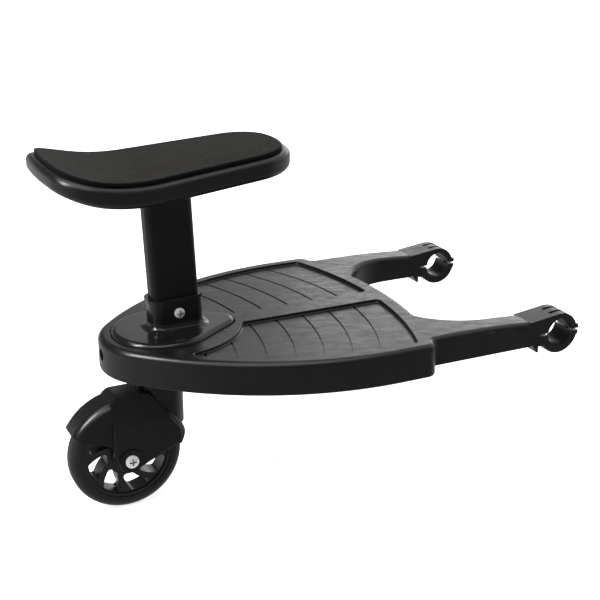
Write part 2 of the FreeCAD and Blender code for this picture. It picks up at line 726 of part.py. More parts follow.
panel_sketch = new_sketch(deck, "XY_Plane", "panel_outline", "board_top")
panel_half(panel_sketch)
panel = pocket(deck, "panel", panel_sketch, "panel_depth")
panel_floor = number("board_top - panel_depth")


def panel_corner(edge):
    """True for the upright edges of the panel."""
    box = edge.BoundBox
    upright = spread(edge, "x") < 1e-3 and spread(edge, "y") < 1e-3
    return upright and abs(box.ZMin - panel_floor) < 1e-3 and box.XMax < -number("front_reach")


panel_round = rounded(deck, "panel_rounding", panel, panel_corner, "panel_round")
floor_places = [
    edge.BoundBox.Center for edge in panel_round.Shape.Edges
    if level(edge, panel_floor) and not on_middle(edge)]


def panel_lip(edge):
    """True for the upper edges that stand over the edges of the panel's floor."""
    if not level(edge, number("board_top")):
        return False
    middle = edge.BoundBox.Center
    return any(math.hypot(middle.x - place.x, middle.y - place.y) < 1e-3 for place in floor_places)


lip = rounded(deck, "panel_lip_rounding", panel_round, panel_lip, "panel_lip")
cove = rounded(
    deck, "panel_cove_rounding", lip,
    lambda edge: level(edge, panel_floor) and not on_middle(edge), "panel_cove")

grooves = new_body("tread_grooves")
grooves.AllowCompound = True
strip_sketch = new_sketch(grooves, "XY_Plane", "groove_outline", "board_top - panel_depth - groove_depth")
GROOVE_CENTRE = "-front_reach - panel_front_rim - tread_pitch - tread_bow"
near_x = number(GROOVE_CENTRE + " + tread_bow")
far_x = number(GROOVE_CENTRE)
far_x += math.sqrt(number("tread_bow") ** 2 - number("board_half_width") ** 2)
wide = number("groove_width")
outline(
    strip_sketch,
    [(near_x, "0"), (far_x, "board_half_width"), (far_x - wide, "board_half_width"),
     (near_x - wide, "0")],
    [
        arc("tread_bow", 1, (GROOVE_CENTRE, "0")),
        None,
        arc("tread_bow", -1, (GROOVE_CENTRE + " - groove_width", "0")),
        None,
    ],
)
strip = pad(grooves, "groove", strip_sketch, "groove_depth + panel_depth")
strips = grooves.newObject("PartDesign::LinearPattern", "groove_row")
strips.Originals = [strip]
strips.Direction = (origin_item(grooves, "X_Axis"), [""])
strips.Reversed = True
strips.Mode = "Spacing"
tie(strips, "Offset", "tread_pitch")
tie(strips, "Occurrences", "tread_count")
grooves.Tip = strips
doc.recompute()
trim_sketch = new_sketch(grooves, "XY_Plane", "groove_trim_outline", "board_top")
panel_half(trim_sketch, " + groove_margin")
outline(
    trim_sketch,
    [("-4*board_half_width", "-board_half_width"), ("0", "-board_half_width"),
     ("0", "2*board_half_width"), ("-4*board_half_width", "2*board_half_width")],
    [None] * 4,
)
trim = pocket(grooves, "groove_trim", trim_sketch, "2*board_top")
grooved = deck.newObject("PartDesign::Boolean", "grooved")
grooved.Type = "Cut"
grooved.Group = [grooves]
deck.Tip = grooved
doc.recompute()


# Recess for the socket flange, room for the kingpin's nut and the bush hole
def egg_half(sketch, extra):
    """Half of the flange outline: two circles joined by a tangent."""
    more = "" if extra == "0" else " + " + extra
    big = number("flange_rear_radius" + more)
    small = number("flange_nose_radius" + more)
    reach = number("flange_rear_centre - flange_nose_centre")
    lean = (big - small) / reach
    rise = math.sqrt(1 - lean ** 2)
    outline(
        sketch,
        [
            (-number("flange_nose_centre") + small, "0"),
            (-number("flange_nose_centre") + small * lean, small * rise),
            (-number("flange_rear_centre") + big * lean, big * rise),
            (-number("flange_rear_centre") - big, "0"),
        ],
        [
            arc("flange_nose_radius" + more, 1, ("-flange_nose_centre", "0")),
            None,
            arc("flange_rear_radius" + more, 1, ("-flange_rear_centre", "0")),
            None,
        ],
        smooth=(1, 2),
    )


def half_disc(sketch, reach, radius):
    """Half disc on the middle line."""
    outline(
        sketch,
        [(f"-{reach} + {radius}", "0"), (f"-{reach}", radius), (f"-{reach} - {radius}", "0")],
        [arc(radius, 1), arc(radius, 1), None],
    )


recess_sketch = new_sketch(deck, "XY_Plane", "recess_outline", "board_top")
egg_half(recess_sketch, "flange_gap")
recess = pocket(deck, "flange_recess", recess_sketch, "flange_recess")

cavity_sketch = new_sketch(deck, "XY_Plane", "cavity_outline", "board_top")
half_disc(cavity_sketch, "swivel_reach", "swivel_cavity_radius")
cavity = pocket(deck, "nut_room", cavity_sketch, "board_top - swivel_cavity_floor")

bush_hole_sketch = new_sketch(deck, "XY_Plane", "bush_hole_outline", "board_top")
half_disc(bush_hole_sketch, "swivel_reach", "bush_radius")
bush_hole = pocket(deck, "bush_hole", bush_hole_sketch, "board_top + 2*board_depth")

screw_hole_sketch = new_sketch(deck, "XY_Plane", "socket_screw_holes", "board_top")
ring(screw_hole_sketch, ("-socket_screw_rear", "socket_screw_rear_side"),
     "socket_screw_radius + screw_clearance")
ring(screw_hole_sketch, ("-socket_screw_front", "socket_screw_front_side"),
     "socket_screw_radius + screw_clearance")
screw_holes = pocket(deck, "socket_holes", screw_hole_sketch, "board_top")

tail_hole_sketch = new_sketch(deck, "YZ_Plane", "tail_hole_outline", "-tail_centre - tail_radius")
ring(tail_hole_sketch, ("0", "tail_hole_height"), "tail_hole_radius")
tail_hole = pocket(deck, "tail_hole", tail_hole_sketch, "4*board_wall", both=True)

# Clamp hook at the end of the arm
hook_sketch = new_sketch(deck, "XZ_Plane", "hook_outline", "-clamp_middle")
ear_low = number("0.5*split_gap")
ear_high = number("0.5*split_gap + ear_thickness")
bore_x = math.sqrt(number("bore_radius") ** 2 - ear_low ** 2)
ring_x = math.sqrt(number("ring_radius") ** 2 - ear_high ** 2)
reach_of_ramp = math.hypot(number("head_reach"), number("arm_top"))
ramp = math.atan2(number("arm_top"), -number("head_reach"))
ramp = ramp - math.acos(number("ring_radius") / reach_of_ramp)
outline(
    hook_sketch,
    [
        (bore_x, "0.5*split_gap"),
        ("ear_reach", "0.5*split_gap"),
        ("ear_reach", "0.5*split_gap + ear_thickness"),
        (ring_x, "0.5*split_gap + ear_thickness"),
        (number("ring_radius") * math.cos(ramp), number("ring_radius") * math.sin(ramp)),
        ("-head_reach", "arm_top"),
        ("-head_reach", "-arm_depth"),
        ("-prong_root", "-arm_depth"),
        ("-prong_tip", "-prong_depth"),
        ("-rear_notch", "-prong_depth"),
        ("-rear_notch", "0.5*split_gap"),
        (-bore_x, "0.5*split_gap"),
    ],
    [None, None, None, arc("ring_radius", 1, ("0", "0")), None, None, None, None, None, None,
     None, arc("bore_radius", -1, ("0", "0"))],
    smooth=(4,),
)
hook = pad(deck, "hook", hook_sketch, "ring_width", both=True)

hook_groove_sketch = new_sketch(
    deck, "XZ_Plane", "hook_groove_outline", "clamp_groove_offset - clamp_middle")
groove_radius = number("ring_radius - clamp_groove_depth")
outline(
    hook_groove_sketch,
    [
        (groove_radius * math.cos(0.5), groove_radius * math.sin(0.5)),
        (groove_radius * math.cos(2.0), groove_radius * math.sin(2.0)),
        ("-ring_radius", "2*ring_radius"),
        ("2*ring_radius", "2*ring_radius"),
        ("2*ring_radius", groove_radius * math.sin(0.5)),
    ],
    [arc("ring_radius - clamp_groove_depth", 1, ("0", "0")), None, None, None, None],
)
hook_groove = pocket(deck, "hook_groove", hook_groove_sketch, "clamp_groove_width", both=True)
hook_grooves = deck.newObject("PartDesign::LinearPattern", "hook_grooves")
hook_grooves.Originals = [hook_groove]
hook_grooves.Direction = (origin_item(deck, "Y_Axis"), [""])
hook_grooves.Mode = "Spacing"
tie(hook_grooves, "Offset", "2*clamp_groove_offset")
hook_grooves.Occurrences = 2
deck.Tip = hook_grooves
doc.recompute()

front_hole_sketch = new_sketch(deck, "XY_Plane", "front_screw_hole_outline", "0.5*split_gap")
ring(front_hole_sketch, ("front_screw", "clamp_middle"), "clamp_screw_radius + screw_clearance")
front_hole = pocket(deck, "front_screw_hole", front_hole_sketch, "2*ear_thickness", flip=True)
front_seat_sketch = new_sketch(
    deck, "XY_Plane", "front_screw_seat_outline", "0.5*split_gap + ear_thickness")
ring(front_seat_sketch, ("front_screw", "clamp_middle"), "clamp_head_radius + head_clearance")
front_seat = pocket(deck, "front_screw_seat", front_seat_sketch, "ring_radius", flip=True)
rear_hole_sketch = new_sketch(deck, "XY_Plane", "rear_screw_hole_outline", "0.5*split_gap")
ring(rear_hole_sketch, ("-rear_screw", "clamp_middle"), "clamp_screw_radius + pilot_clearance")
rear_hole = pocket(deck, "rear_screw_hole", rear_hole_sketch,
                   "clamp_screw_length - rear_ear_thickness", flip=True)
mirror_half(deck, "deck_halves")

# Clamp jaws under the hooks
jaw = new_body("clamp_jaw_left")
jaw_sketch = new_sketch(jaw, "XZ_Plane", "jaw_outline", "-clamp_middle")
rear_low = -number("0.5*split_gap + rear_ear_thickness")
rear_x = -math.sqrt(number("jaw_radius") ** 2 - rear_low ** 2)
jaw_x = math.sqrt(number("jaw_radius") ** 2 - ear_high ** 2)
outline(
    jaw_sketch,
    [
        (-bore_x, "-0.5*split_gap"),
        ("-rear_notch + rear_clearance", "-0.5*split_gap"),
        ("-rear_notch + rear_clearance", "-0.5*split_gap - rear_ear_thickness"),
        (rear_x, "-0.5*split_gap - rear_ear_thickness"),
        (jaw_x, "-0.5*split_gap - ear_thickness"),
        ("ear_reach", "-0.5*split_gap - ear_thickness"),
        ("ear_reach", "-0.5*split_gap"),
        (bore_x, "-0.5*split_gap"),
    ],
    [None, None, None, arc("jaw_radius", 1, ("0", "0")), None, None, None,
     arc("bore_radius", -1, ("0", "0"))],
)
jaw_pad = pad(jaw, "jaw", jaw_sketch, "ring_width - 2*jaw_inset", both=True)
jaw_round = rounded(
    jaw, "jaw_rounding", jaw_pad,
    lambda edge: edge.Curve.TypeId == "Part::GeomCircle"
    and abs(edge.Curve.Radius - number("jaw_radius")) < 1e-3, "jaw_chamfer", "Chamfer")
jaw_holes_sketch = new_sketch(jaw, "XY_Plane", "jaw_holes_outline", "0")
ring(jaw_holes_sketch, ("front_screw", "clamp_middle"), "clamp_screw_radius + screw_clearance")
ring(jaw_holes_sketch, ("-rear_screw", "clamp_middle"), "clamp_screw_radius + screw_clearance")
jaw_holes = pocket(jaw, "jaw_holes", jaw_holes_sketch, "2*jaw_radius")
jaw_seat_sketch = new_sketch(
    jaw, "XY_Plane", "jaw_screw_seat_outline", "-0.5*split_gap - rear_ear_thickness")
ring(jaw_seat_sketch, ("-rear_screw", "clamp_middle"), "clamp_head_radius + head_clearance")
jaw_seat = pocket(jaw, "jaw_screw_seat", jaw_seat_sketch, "jaw_radius")
jaw_nut_sketch = new_sketch(
    jaw, "XY_Plane", "jaw_nut_seat_outline", "-0.5*split_gap - ear_thickness")
ring(jaw_nut_sketch, ("front_screw", "clamp_middle"), "clamp_nut_radius + head_clearance")
jaw_nut_seat = pocket(jaw, "jaw_nut_seat", jaw_nut_sketch, "jaw_radius")
jaw_right = mirrored_copy("clamp_jaw_right", jaw)


# Screws, bolts and nuts stand along Z with the head's seat at zero
def cross_screw(name, radius, length, head, height):
    """Pan head screw with a cross slot, head upwards."""
    body = new_body(name)
    sketch = new_sketch(body, "XZ_Plane", name + "_profile")
    outline(
        sketch,
        [("0", "-" + length), (radius, "-" + length), (radius, "0"), (head, "0"),
         (head, f"0.4*{height}"), ("0", height)],
        [None, None, None, None, arc(number(head) * 1.25, 1, ("0", None)), None],
    )
    turned = spin(body, name + "_turned", sketch, "Z_Axis")
    for label, reach, half in (("_slot", "0.55*" + head, "0.5*cross_slot_width"),
                               ("_cross", "0.5*cross_slot_width", "0.55*" + head)):
        slot = new_sketch(body, "XY_Plane", name + label + "_outline", height)
        corners = [("-" + reach, "-" + half), (reach, "-" + half), (reach, half), ("-" + reach, half)]
        outline(slot, corners, [None] * 4)
        pocket(body, name + label, slot, "cross_slot_depth")
    return body


def hex_nut(name, corner, bore, height):
    """Hexagon nut with its lower face at zero."""
    body = new_body(name)
    sketch = new_sketch(body, "XY_Plane", name + "_outline")
    size = number(corner)
    points = [Vector(size * math.cos(math.radians(60 * k)), size * math.sin(math.radians(60 * k)), 0)
              for k in range(6)]
    for k in range(6):
        sketch.addGeometry(Part.LineSegment(points[k], points[(k + 1) % 6]))
    circle = sketch.addGeometry(Part.Circle(Vector(0, 0, 0), Vector(0, 0, 1), size))
    sketch.setConstruction(circle, True)
    sketch.addConstraint(Sketcher.Constraint("Coincident", circle, 3, -1, 1))
    limit = Sketcher.Constraint("Radius", circle, size)
    tie(sketch, f"Constraints[{sketch.addConstraint(limit)}]", corner)
    for k in range(6):
        sketch.addConstraint(Sketcher.Constraint("Coincident", k, 2, (k + 1) % 6, 1))
        sketch.addConstraint(Sketcher.Constraint("PointOnObject", k, 1, circle))
        if k:
            sketch.addConstraint(Sketcher.Constraint("Equal", 0, k))
    sketch.addConstraint(Sketcher.Constraint("PointOnObject", 0, 1, -1))
    pad(body, name + "_block", sketch, height)
    hole_sketch = new_sketch(body, "XY_Plane", name + "_hole")
    ring(hole_sketch, ("0", "0"), bore)
    pocket(body, name + "_bore", hole_sketch, height, flip=True)
    return body


def put(item, place, axis=(0, 0, 1), angle=0):
    """Place an object by sums of sizes and a turn."""
    spot = Vector(*[amount(part) for part in place])
    item.Placement = Placement(spot, Rotation(Vector(*axis), angle))
    for letter, part in zip("xyz", place):
        item.setExpression(f"Placement.Base.{letter}", expression(part))


SCREW = ("clamp_screw_radius", "clamp_screw_length", "clamp_head_radius", "clamp_head_height")
front_screw = cross_screw("clamp_screw_front", *SCREW)
put(front_screw, ("front_screw", "clamp_middle", "0.5*split_gap + ear_thickness"))
rear_screw = cross_screw("clamp_screw_rear", *SCREW)
put(rear_screw, ("-rear_screw", "clamp_middle", "-0.5*split_gap - rear_ear_thickness"),
    (1, 0, 0), 180)
clamp_screws = group("clamp_screws", [
    front_screw, rear_screw,
    mirrored_copy("clamp_screw_front_right", front_screw),
    mirrored_copy("clamp_screw_rear_right", rear_screw),
])
clamp_nut = hex_nut("clamp_nut_left", "clamp_nut_radius", "clamp_screw_radius + pilot_clearance",
                    "clamp_nut_height")
put(clamp_nut, ("front_screw", "clamp_middle",
                "-0.5*split_gap - ear_thickness - clamp_nut_height"))
clamp_nuts = group("clamp_nuts", [clamp_nut, mirrored_copy("clamp_nut_right", clamp_nut)])

# Socket: egg-shaped flange with a leaning collar for the post
FLANGE_LOW = "board_top - flange_recess"
socket = new_body("seat_socket")
flange_sketch = new_sketch(socket, "XY_Plane", "flange_outline", FLANGE_LOW)
egg_half(flange_sketch, "0")
flange_pad = pad(socket, "flange", flange_sketch, "flange_height")
flange_round = rounded(
    socket, "flange_rounding", flange_pad,
    lambda edge: level(edge, number(FLANGE_LOW + " + flange_height")) and not on_middle(edge),
    "flange_round")
flange = mirror_half(socket, "flange_halves")


def rounded_box(sketch, plus="", minus=""):
    """Section of the post, larger by the sum in plus and its opposite in minus."""
    x = "0.5*post_long" + plus
    low_x = "-0.5*post_long" + minus
    y = "0.5*post_short" + plus
    low_y = "-0.5*post_short" + minus
    in_x = "0.5*post_long - post_round"
    low_in_x = "-0.5*post_long + post_round"
    in_y = "0.5*post_short - post_round"
    low_in_y = "-0.5*post_short + post_round"
    corner = arc("post_round" + plus, 1)
    outline(
        sketch,
        [
            (x, low_in_y), (x, in_y), (in_x, y), (low_in_x, y),
            (low_x, in_y), (low_x, low_in_y), (low_in_x, low_y), (in_x, low_y),
        ],
        [None, corner, None, corner, None, corner, None, corner],
    )


def on_post(height):
    """Point on the leaning axis of the post at a height above its foot."""
    lean = math.radians(number("post_lean"))
    rise = number(height)
    foot = formula(POST_FOOT)
    return (
        (-number("post_reach") - rise * math.sin(lean),
         f"-sizes.post_reach - ({formula(height)})*sin(sizes.post_lean)"),
        "0",
        (number(POST_FOOT) + rise * math.cos(lean),
         f"{foot} + ({formula(height)})*cos(sizes.post_lean)"),
    )


def post_sketch(body, name, height):
    """Sketch square to the post at a height above its foot."""
    sketch = new_sketch(body, "XY_Plane", name, POST_FOOT, "-post_reach", "post_lean")
    place = on_post(height)
    sketch.setExpression("AttachmentOffset.Base.x", place[0][1])
    sketch.setExpression("AttachmentOffset.Base.z", place[2][1])
    return sketch


POST_FOOT = FLANGE_LOW + " + socket_floor"
COLLAR = (" + post_clearance + collar_wall", " - post_clearance - collar_wall")
BEAD = (COLLAR[0] + " + collar_bead", COLLAR[1] + " - collar_bead")
collar_sketch = post_sketch(socket, "collar_outline", "0")
rounded_box(collar_sketch, *COLLAR)
collar = pad(socket, "collar", collar_sketch, "collar_height - socket_floor")


def collar_foot(edge):
    """True for the edges where the collar rises from the flange."""
    box = edge.BoundBox
    near = abs(box.Center.x + number("post_reach")) < number("0.5*post_long + 2*collar_wall")
    return near and level(edge, number(FLANGE_LOW + " + flange_height")) \
        and abs(box.Center.y) < number("0.5*post_short + 2*collar_wall")


collar_round = rounded(socket, "collar_rounding", collar, collar_foot, "collar_fillet")
bead_sketch = post_sketch(socket, "bead_outline", "collar_height - socket_floor - collar_bead_height")
rounded_box(bead_sketch, *BEAD)
bead = pad(socket, "bead", bead_sketch, "collar_bead_height")
mouth_sketch = post_sketch(socket, "mouth_outline", "0")
rounded_box(mouth_sketch, " + post_clearance", " - post_clearance")
mouth = pocket(socket, "mouth", mouth_sketch, "2*collar_height", flip=True)
bolt_place = on_post("post_bolt_height")
bolt_hole_sketch = new_sketch(socket, "XZ_Plane", "bolt_hole_outline")
ring(bolt_hole_sketch, (bolt_place[0], bolt_place[2]), "post_bolt_radius + screw_clearance")
bolt_hole = pocket(socket, "bolt_hole", bolt_hole_sketch, "3*post_short", both=True)
pilot_sketch = new_sketch(socket, "XY_Plane", "socket_pilot_outline", FLANGE_LOW)
for side in ("", "-"):
    ring(pilot_sketch, ("-socket_screw_rear", side + "socket_screw_rear_side"),
         "socket_screw_radius + pilot_clearance")
    ring(pilot_sketch, ("-socket_screw_front", side + "socket_screw_front_side"),
         "socket_screw_radius + pilot_clearance")
pilots = pocket(socket, "socket_pilots", pilot_sketch,
                "socket_screw_length - board_plate - groove_depth - panel_depth + flange_recess",
                flip=True)

PLATE_LOW = "board_top - panel_depth - groove_depth - board_plate"
socket_screw_list = []
for label, reach, side in (("rear", "socket_screw_rear", "socket_screw_rear_side"),
                           ("front", "socket_screw_front", "socket_screw_front_side")):
    screw = cross_screw("socket_screw_" + label, "socket_screw_radius", "socket_screw_length",
                        "socket_screw_head", "socket_screw_head_height")
    put(screw, ("-" + reach, side, PLATE_LOW), (1, 0, 0), 180)
    socket_screw_list.append(screw)
    socket_screw_list.append(mirrored_copy("socket_screw_" + label + "_right", screw))
socket_screws = group("socket_screws", socket_screw_list)

# Leaning post with a closed top
post = new_body("seat_post")
post_outer_sketch = new_sketch(post, "XY_Plane", "post_outline")
rounded_box(post_outer_sketch)
post_pad = pad(post, "post", post_outer_sketch, "post_length")
post_inner_sketch = new_sketch(post, "XY_Plane", "post_hollow_outline")
rounded_box(post_inner_sketch, " - post_wall", " + post_wall")
post_hollow = pocket(post, "post_hollow", post_inner_sketch, "post_length - post_top_wall", flip=True)
post_hole_sketch = new_sketch(post, "XZ_Plane", "post_bolt_hole_outline")
ring(post_hole_sketch, ("0", "post_bolt_height"), "post_bolt_radius + screw_clearance")
post_hole = pocket(post, "post_bolt_hole", post_hole_sketch, "3*post_short", both=True)
post_pilot_sketch = new_sketch(post, "XY_Plane", "post_pilot_outline", "post_length")
ring(post_pilot_sketch, ("seat_screw_offset", "0"), "seat_screw_radius + pilot_clearance")
ring(post_pilot_sketch, ("-seat_screw_offset", "0"), "seat_screw_radius + pilot_clearance")
post_pilots = pocket(post, "post_pilots", post_pilot_sketch, "seat_screw_length - seat_grip")
post.Placement = Placement(
    Vector(-number("post_reach"), 0, number(POST_FOOT)),
    Rotation(Vector(0, -1, 0), number("post_lean")))
tie(post, "Placement.Base.x", "-post_reach")
tie(post, "Placement.Base.z", POST_FOOT)
tie(post, "Placement.Rotation.Angle", "post_lean")

COLLAR_SIDE = "0.5*post_short + post_clearance + collar_wall"
post_bolt = cross_screw("post_bolt", "post_bolt_radius", "post_bolt_length",
                        "post_bolt_head_radius", "post_bolt_head_height")
put(post_bolt, (bolt_place[0], "-0.5*post_short - post_clearance - collar_wall", bolt_place[2]),
    (1, 0, 0), 90)
post_nut = hex_nut("post_nut", "post_nut_radius", "post_bolt_radius + pilot_clearance",
                   "post_nut_height")
put(post_nut, (bolt_place[0], COLLAR_SIDE, bolt_place[2]), (1, 0, 0), -90)


# Seat: pan and pad share one plan and one side view
def seat_half(sketch, more="", less=""):
    """Half plan of the seat: bowed nose and back joined to tapered sides by round corners.

    It is larger by the sum in more, whose opposite is in less.
    """
    middle = number("seat_reach")
    grow = number("0" + more)
    nose = number("pad_nose") + grow
    back = number("pad_back") + grow
    half = number("pad_half_width") + grow
    corner = number("pad_nose_corner") + grow
    rear = number("pad_back_corner") + grow
    sides = outline(
        sketch,
        [
            ("-seat_reach + pad_nose" + more, "0"),
            (nose - 0.28 * corner - middle, 0.62 * half),
            (nose - 0.95 * corner - middle, 0.82 * half),
            (-back + 1.1 * rear - middle, "pad_half_width" + more),
            (-back + 0.2 * rear - middle, half - 0.8 * rear),
            ("-seat_reach - pad_back" + less, "0"),
        ],
        [
            arc("pad_nose_radius" + more, 1, (None, "0")),
            arc("pad_nose_corner" + more, 1),
            None,
            arc("pad_back_corner" + more, 1),
            arc("pad_back_radius" + more, 1, (None, "0")),
            None,
        ],
        smooth=(1, 2, 3, 4),
    )
    taper = math.radians(number("pad_taper"))
    limit = Sketcher.Constraint("Angle", -1, 1, sides[2], 2, -taper)
    tie(sketch, f"Constraints[{sketch.addConstraint(limit)}]", "-pad_taper")


def above(sketch, lift, radius):
    """Side view of all that lies over the seat's saddle line."""
    back_x = "-seat_reach - pad_back - 2*pan_margin"
    nose_x = "-seat_reach + pad_nose + 2*pan_margin"
    drop = number("pad_back + 2*pan_margin - seat_dip")
    size = number(radius)
    curve = size - math.sqrt(size ** 2 - drop ** 2)
    outline(
        sketch,
        [
            ("-seat_reach - seat_dip", "seat_height" + lift),
            (nose_x, "seat_height + nose_rise" + lift),
            (nose_x, "seat_height + 4*pan_thickness"),
            (back_x, "seat_height + 4*pan_thickness"),
            (back_x, number("seat_height" + lift) + curve),
        ],
        [None, None, None, None, arc(radius, 1)],
        smooth=(0,),
    )


def below(sketch, lift, radius):
    """Side view of all that lies under the seat's saddle line."""
    back_x = "-seat_reach - pad_back - 2*pan_margin"
    nose_x = "-seat_reach + pad_nose + 2*pan_margin"
    drop = number("pad_back + 2*pan_margin - seat_dip")
    size = number(radius)
    curve = size - math.sqrt(size ** 2 - drop ** 2)
    outline(
        sketch,
        [
            ("-seat_reach - seat_dip", "seat_height" + lift),
            (nose_x, "seat_height + nose_rise" + lift),
            (nose_x, "seat_height - 4*pan_thickness"),
            (back_x, "seat_height - 4*pan_thickness"),
            (back_x, number("seat_height" + lift) + curve),
        ],
        [None, None, None, None, arc(radius, 1)],
        smooth=(0,),
    )


def saddle_height(x):
    """Height of the pan's upper side at a station."""
    run = x + number("seat_reach") + number("seat_dip")
    rise = number("nose_rise") * run / number("pad_nose + 2*pan_margin + seat_dip")
    kick = run ** 2 / (2 * number("kick_radius")) if run < 0 else 0
    return number("seat_height") + rise + kick


def seat_block(body, name, more="", less=""):
    sketch = new_sketch(body, "XY_Plane", name + "_plan", "seat_height - 3*pan_thickness")
    seat_half(sketch, more, less)
    return pad(body, name + "_block", sketch, "6*pan_thickness")


def seat_rim(edge, shift, upper):
    """True for the outer edges of a seat piece over or under a line beside the saddle line."""
    if on_middle(edge):
        return False
    ends = [vertex.Point for vertex in edge.Vertexes]
    if len(ends) == 2 and math.hypot(ends[0].x - ends[1].x, ends[0].y - ends[1].y) < 1e-3:
        return False
    if all(vertex.Point.y < 1e-3 for vertex in edge.Vertexes):
        return False
    middle = edge.valueAt((edge.FirstParameter + edge.LastParameter) / 2)
    return (middle.z > saddle_height(middle.x) + shift) == upper and outer_edge(edge)


def outer_edge(edge):
    """True where an edge does not run straight across the seat."""
    return not (spread(edge, "x") < 1e-3 and spread(edge, "y") > 1)


pan = new_body("seat_pan")
seat_block(pan, "pan", " + pan_margin", " - pan_margin")
pan_top_sketch = new_sketch(pan, "XZ_Plane", "pan_top_view")
above(pan_top_sketch, "", "kick_radius")
pan_top = pocket(pan, "pan_top", pan_top_sketch, "8*pad_half_width", both=True)
pan_low_sketch = new_sketch(pan, "XZ_Plane", "pan_low_view")
below(pan_low_sketch, " - pan_thickness", "pan_kick_radius")
pan_low = pocket(pan, "pan_low", pan_low_sketch, "8*pad_half_width", both=True)
half_pan = -0.5 * number("pan_thickness")
pan_round = rounded(pan, "pan_top_rounding", pan_low,
                    lambda edge: seat_rim(edge, half_pan, True), "pan_top_round")
pan_foot = rounded(pan, "pan_low_rounding", pan_round,
                   lambda edge: seat_rim(edge, half_pan, False), "pan_bottom_round")
pan_hollow_sketch = new_sketch(pan, "XY_Plane", "pan_hollow_plan", "seat_height - 3*pan_thickness")
seat_half(pan_hollow_sketch, " + pan_margin - pan_wall", " - pan_margin + pan_wall")
pan_hollow = pocket(pan, "pan_hollow", pan_hollow_sketch, "3*pan_thickness - pan_plate", flip=True)
mirror_half(pan, "pan_halves")
pan_boss_sketch = post_sketch(pan, "pan_boss_outline", "post_length - pan_post_depth")
rounded_box(pan_boss_sketch, " + post_clearance + pan_boss_wall", " - post_clearance - pan_boss_wall")
pan_boss = pad(pan, "pan_boss", pan_boss_sketch, "pan_post_depth + seat_grip")
pan_mouth_sketch = post_sketch(pan, "pan_mouth_outline", "post_length")
rounded_box(pan_mouth_sketch, " + post_clearance", " - post_clearance")
pan_mouth = pocket(pan, "pan_mouth", pan_mouth_sketch, "2*pan_post_depth")
for label, radius, height, up in (
        ("hole", "seat_screw_radius + screw_clearance", "post_length", "seat_grip"),
        ("seat", "seat_screw_head + head_clearance", "post_length + seat_grip", "pan_thickness")):
    pan_screw_sketch = post_sketch(pan, f"pan_screw_{label}_outline", height)
    ring(pan_screw_sketch, ("seat_screw_offset", "0"), radius)
    ring(pan_screw_sketch, ("-seat_screw_offset", "0"), radius)
    pocket(pan, "pan_screw_" + label, pan_screw_sketch, up, flip=True)

seat_screw_list = []
for label, side in (("front", 1), ("rear", -1)):
    screw = cross_screw("seat_screw_" + label, "seat_screw_radius", "seat_screw_length",
                        "seat_screw_head", "seat_screw_head_height")
    lean = math.radians(number("post_lean"))
    place = on_post("post_length + seat_grip")
    shift = side * number("seat_screw_offset")
    sign = "+" if side > 0 else "-"
    spot = (
        (place[0][0] + shift * math.cos(lean),
         place[0][1] + f" {sign} sizes.seat_screw_offset*cos(sizes.post_lean)"),
        "0",
        (place[2][0] + shift * math.sin(lean),
         place[2][1] + f" {sign} sizes.seat_screw_offset*sin(sizes.post_lean)"),
    )
    put(screw, spot, (0, -1, 0), number("post_lean"))
    tie(screw, "Placement.Rotation.Angle", "post_lean")
    seat_screw_list.append(screw)
seat_screws = group("seat_screws", seat_screw_list)

seat_pad = new_body("seat_pad")
seat_block(seat_pad, "pad")
pad_top_sketch = new_sketch(seat_pad, "XZ_Plane", "pad_top_view")
above(pad_top_sketch, " + pad_thickness", "kick_radius - pad_thickness")
pad_top = pocket(seat_pad, "pad_top", pad_top_sketch, "8*pad_half_width", both=True)
pad_low_sketch = new_sketch(seat_pad, "XZ_Plane", "pad_low_view")
below(pad_low_sketch, "", "kick_radius")
pad_low = pocket(seat_pad, "pad_low", pad_low_sketch, "8*pad_half_width", both=True)
half_pad = 0.5 * number("pad_thickness")
pad_rim = rounded(seat_pad, "pad_rounding", pad_low,
                  lambda edge: seat_rim(edge, half_pad, True), "pad_round")
mirror_half(seat_pad, "pad_halves")

# Swivel: bush in the board, kingpin with washer and nut
BUSH_LOW = "-board_depth - bush_flange"
FORK_TOP = "-board_depth - bush_flange - fork_clearance"
bush = new_body("swivel_bush")
bush_sketch = new_sketch(bush, "XZ_Plane", "bush_profile")
BUSH_BORE = "kingpin_radius + running_clearance"
outline(
    bush_sketch,
    [(BUSH_BORE, BUSH_LOW), ("bush_flange_radius", BUSH_LOW), ("bush_flange_radius", "-board_depth"),
     ("bush_radius", "-board_depth"), ("bush_radius", "swivel_cavity_floor"),
     (BUSH_BORE, "swivel_cavity_floor")],
    [None] * 6,
)
spin(bush, "bush_turned", bush_sketch, "Z_Axis")
put(bush, ("-swivel_reach", "0", "0"))

kingpin = new_body("kingpin")
kingpin_sketch = new_sketch(kingpin, "XZ_Plane", "kingpin_profile")
WASHER_LOW = "swivel_cavity_floor + washer_clearance"
NUT_LOW = WASHER_LOW + " + washer_thickness"
PIN_TOP = NUT_LOW + " + kingpin_nut_height + kingpin_end"
outline(
    kingpin_sketch,
    [("0", FORK_TOP + " - kingpin_grip"), ("kingpin_radius - pin_chamfer", FORK_TOP + " - kingpin_grip"),
     ("kingpin_radius", FORK_TOP + " - kingpin_grip + pin_chamfer"),
     ("kingpin_radius", PIN_TOP + " - pin_chamfer"),
     ("kingpin_radius - pin_chamfer", PIN_TOP), ("0", PIN_TOP)],
    [None] * 6,
)
spin(kingpin, "kingpin_turned", kingpin_sketch, "Z_Axis")
put(kingpin, ("-swivel_reach", "0", "0"))

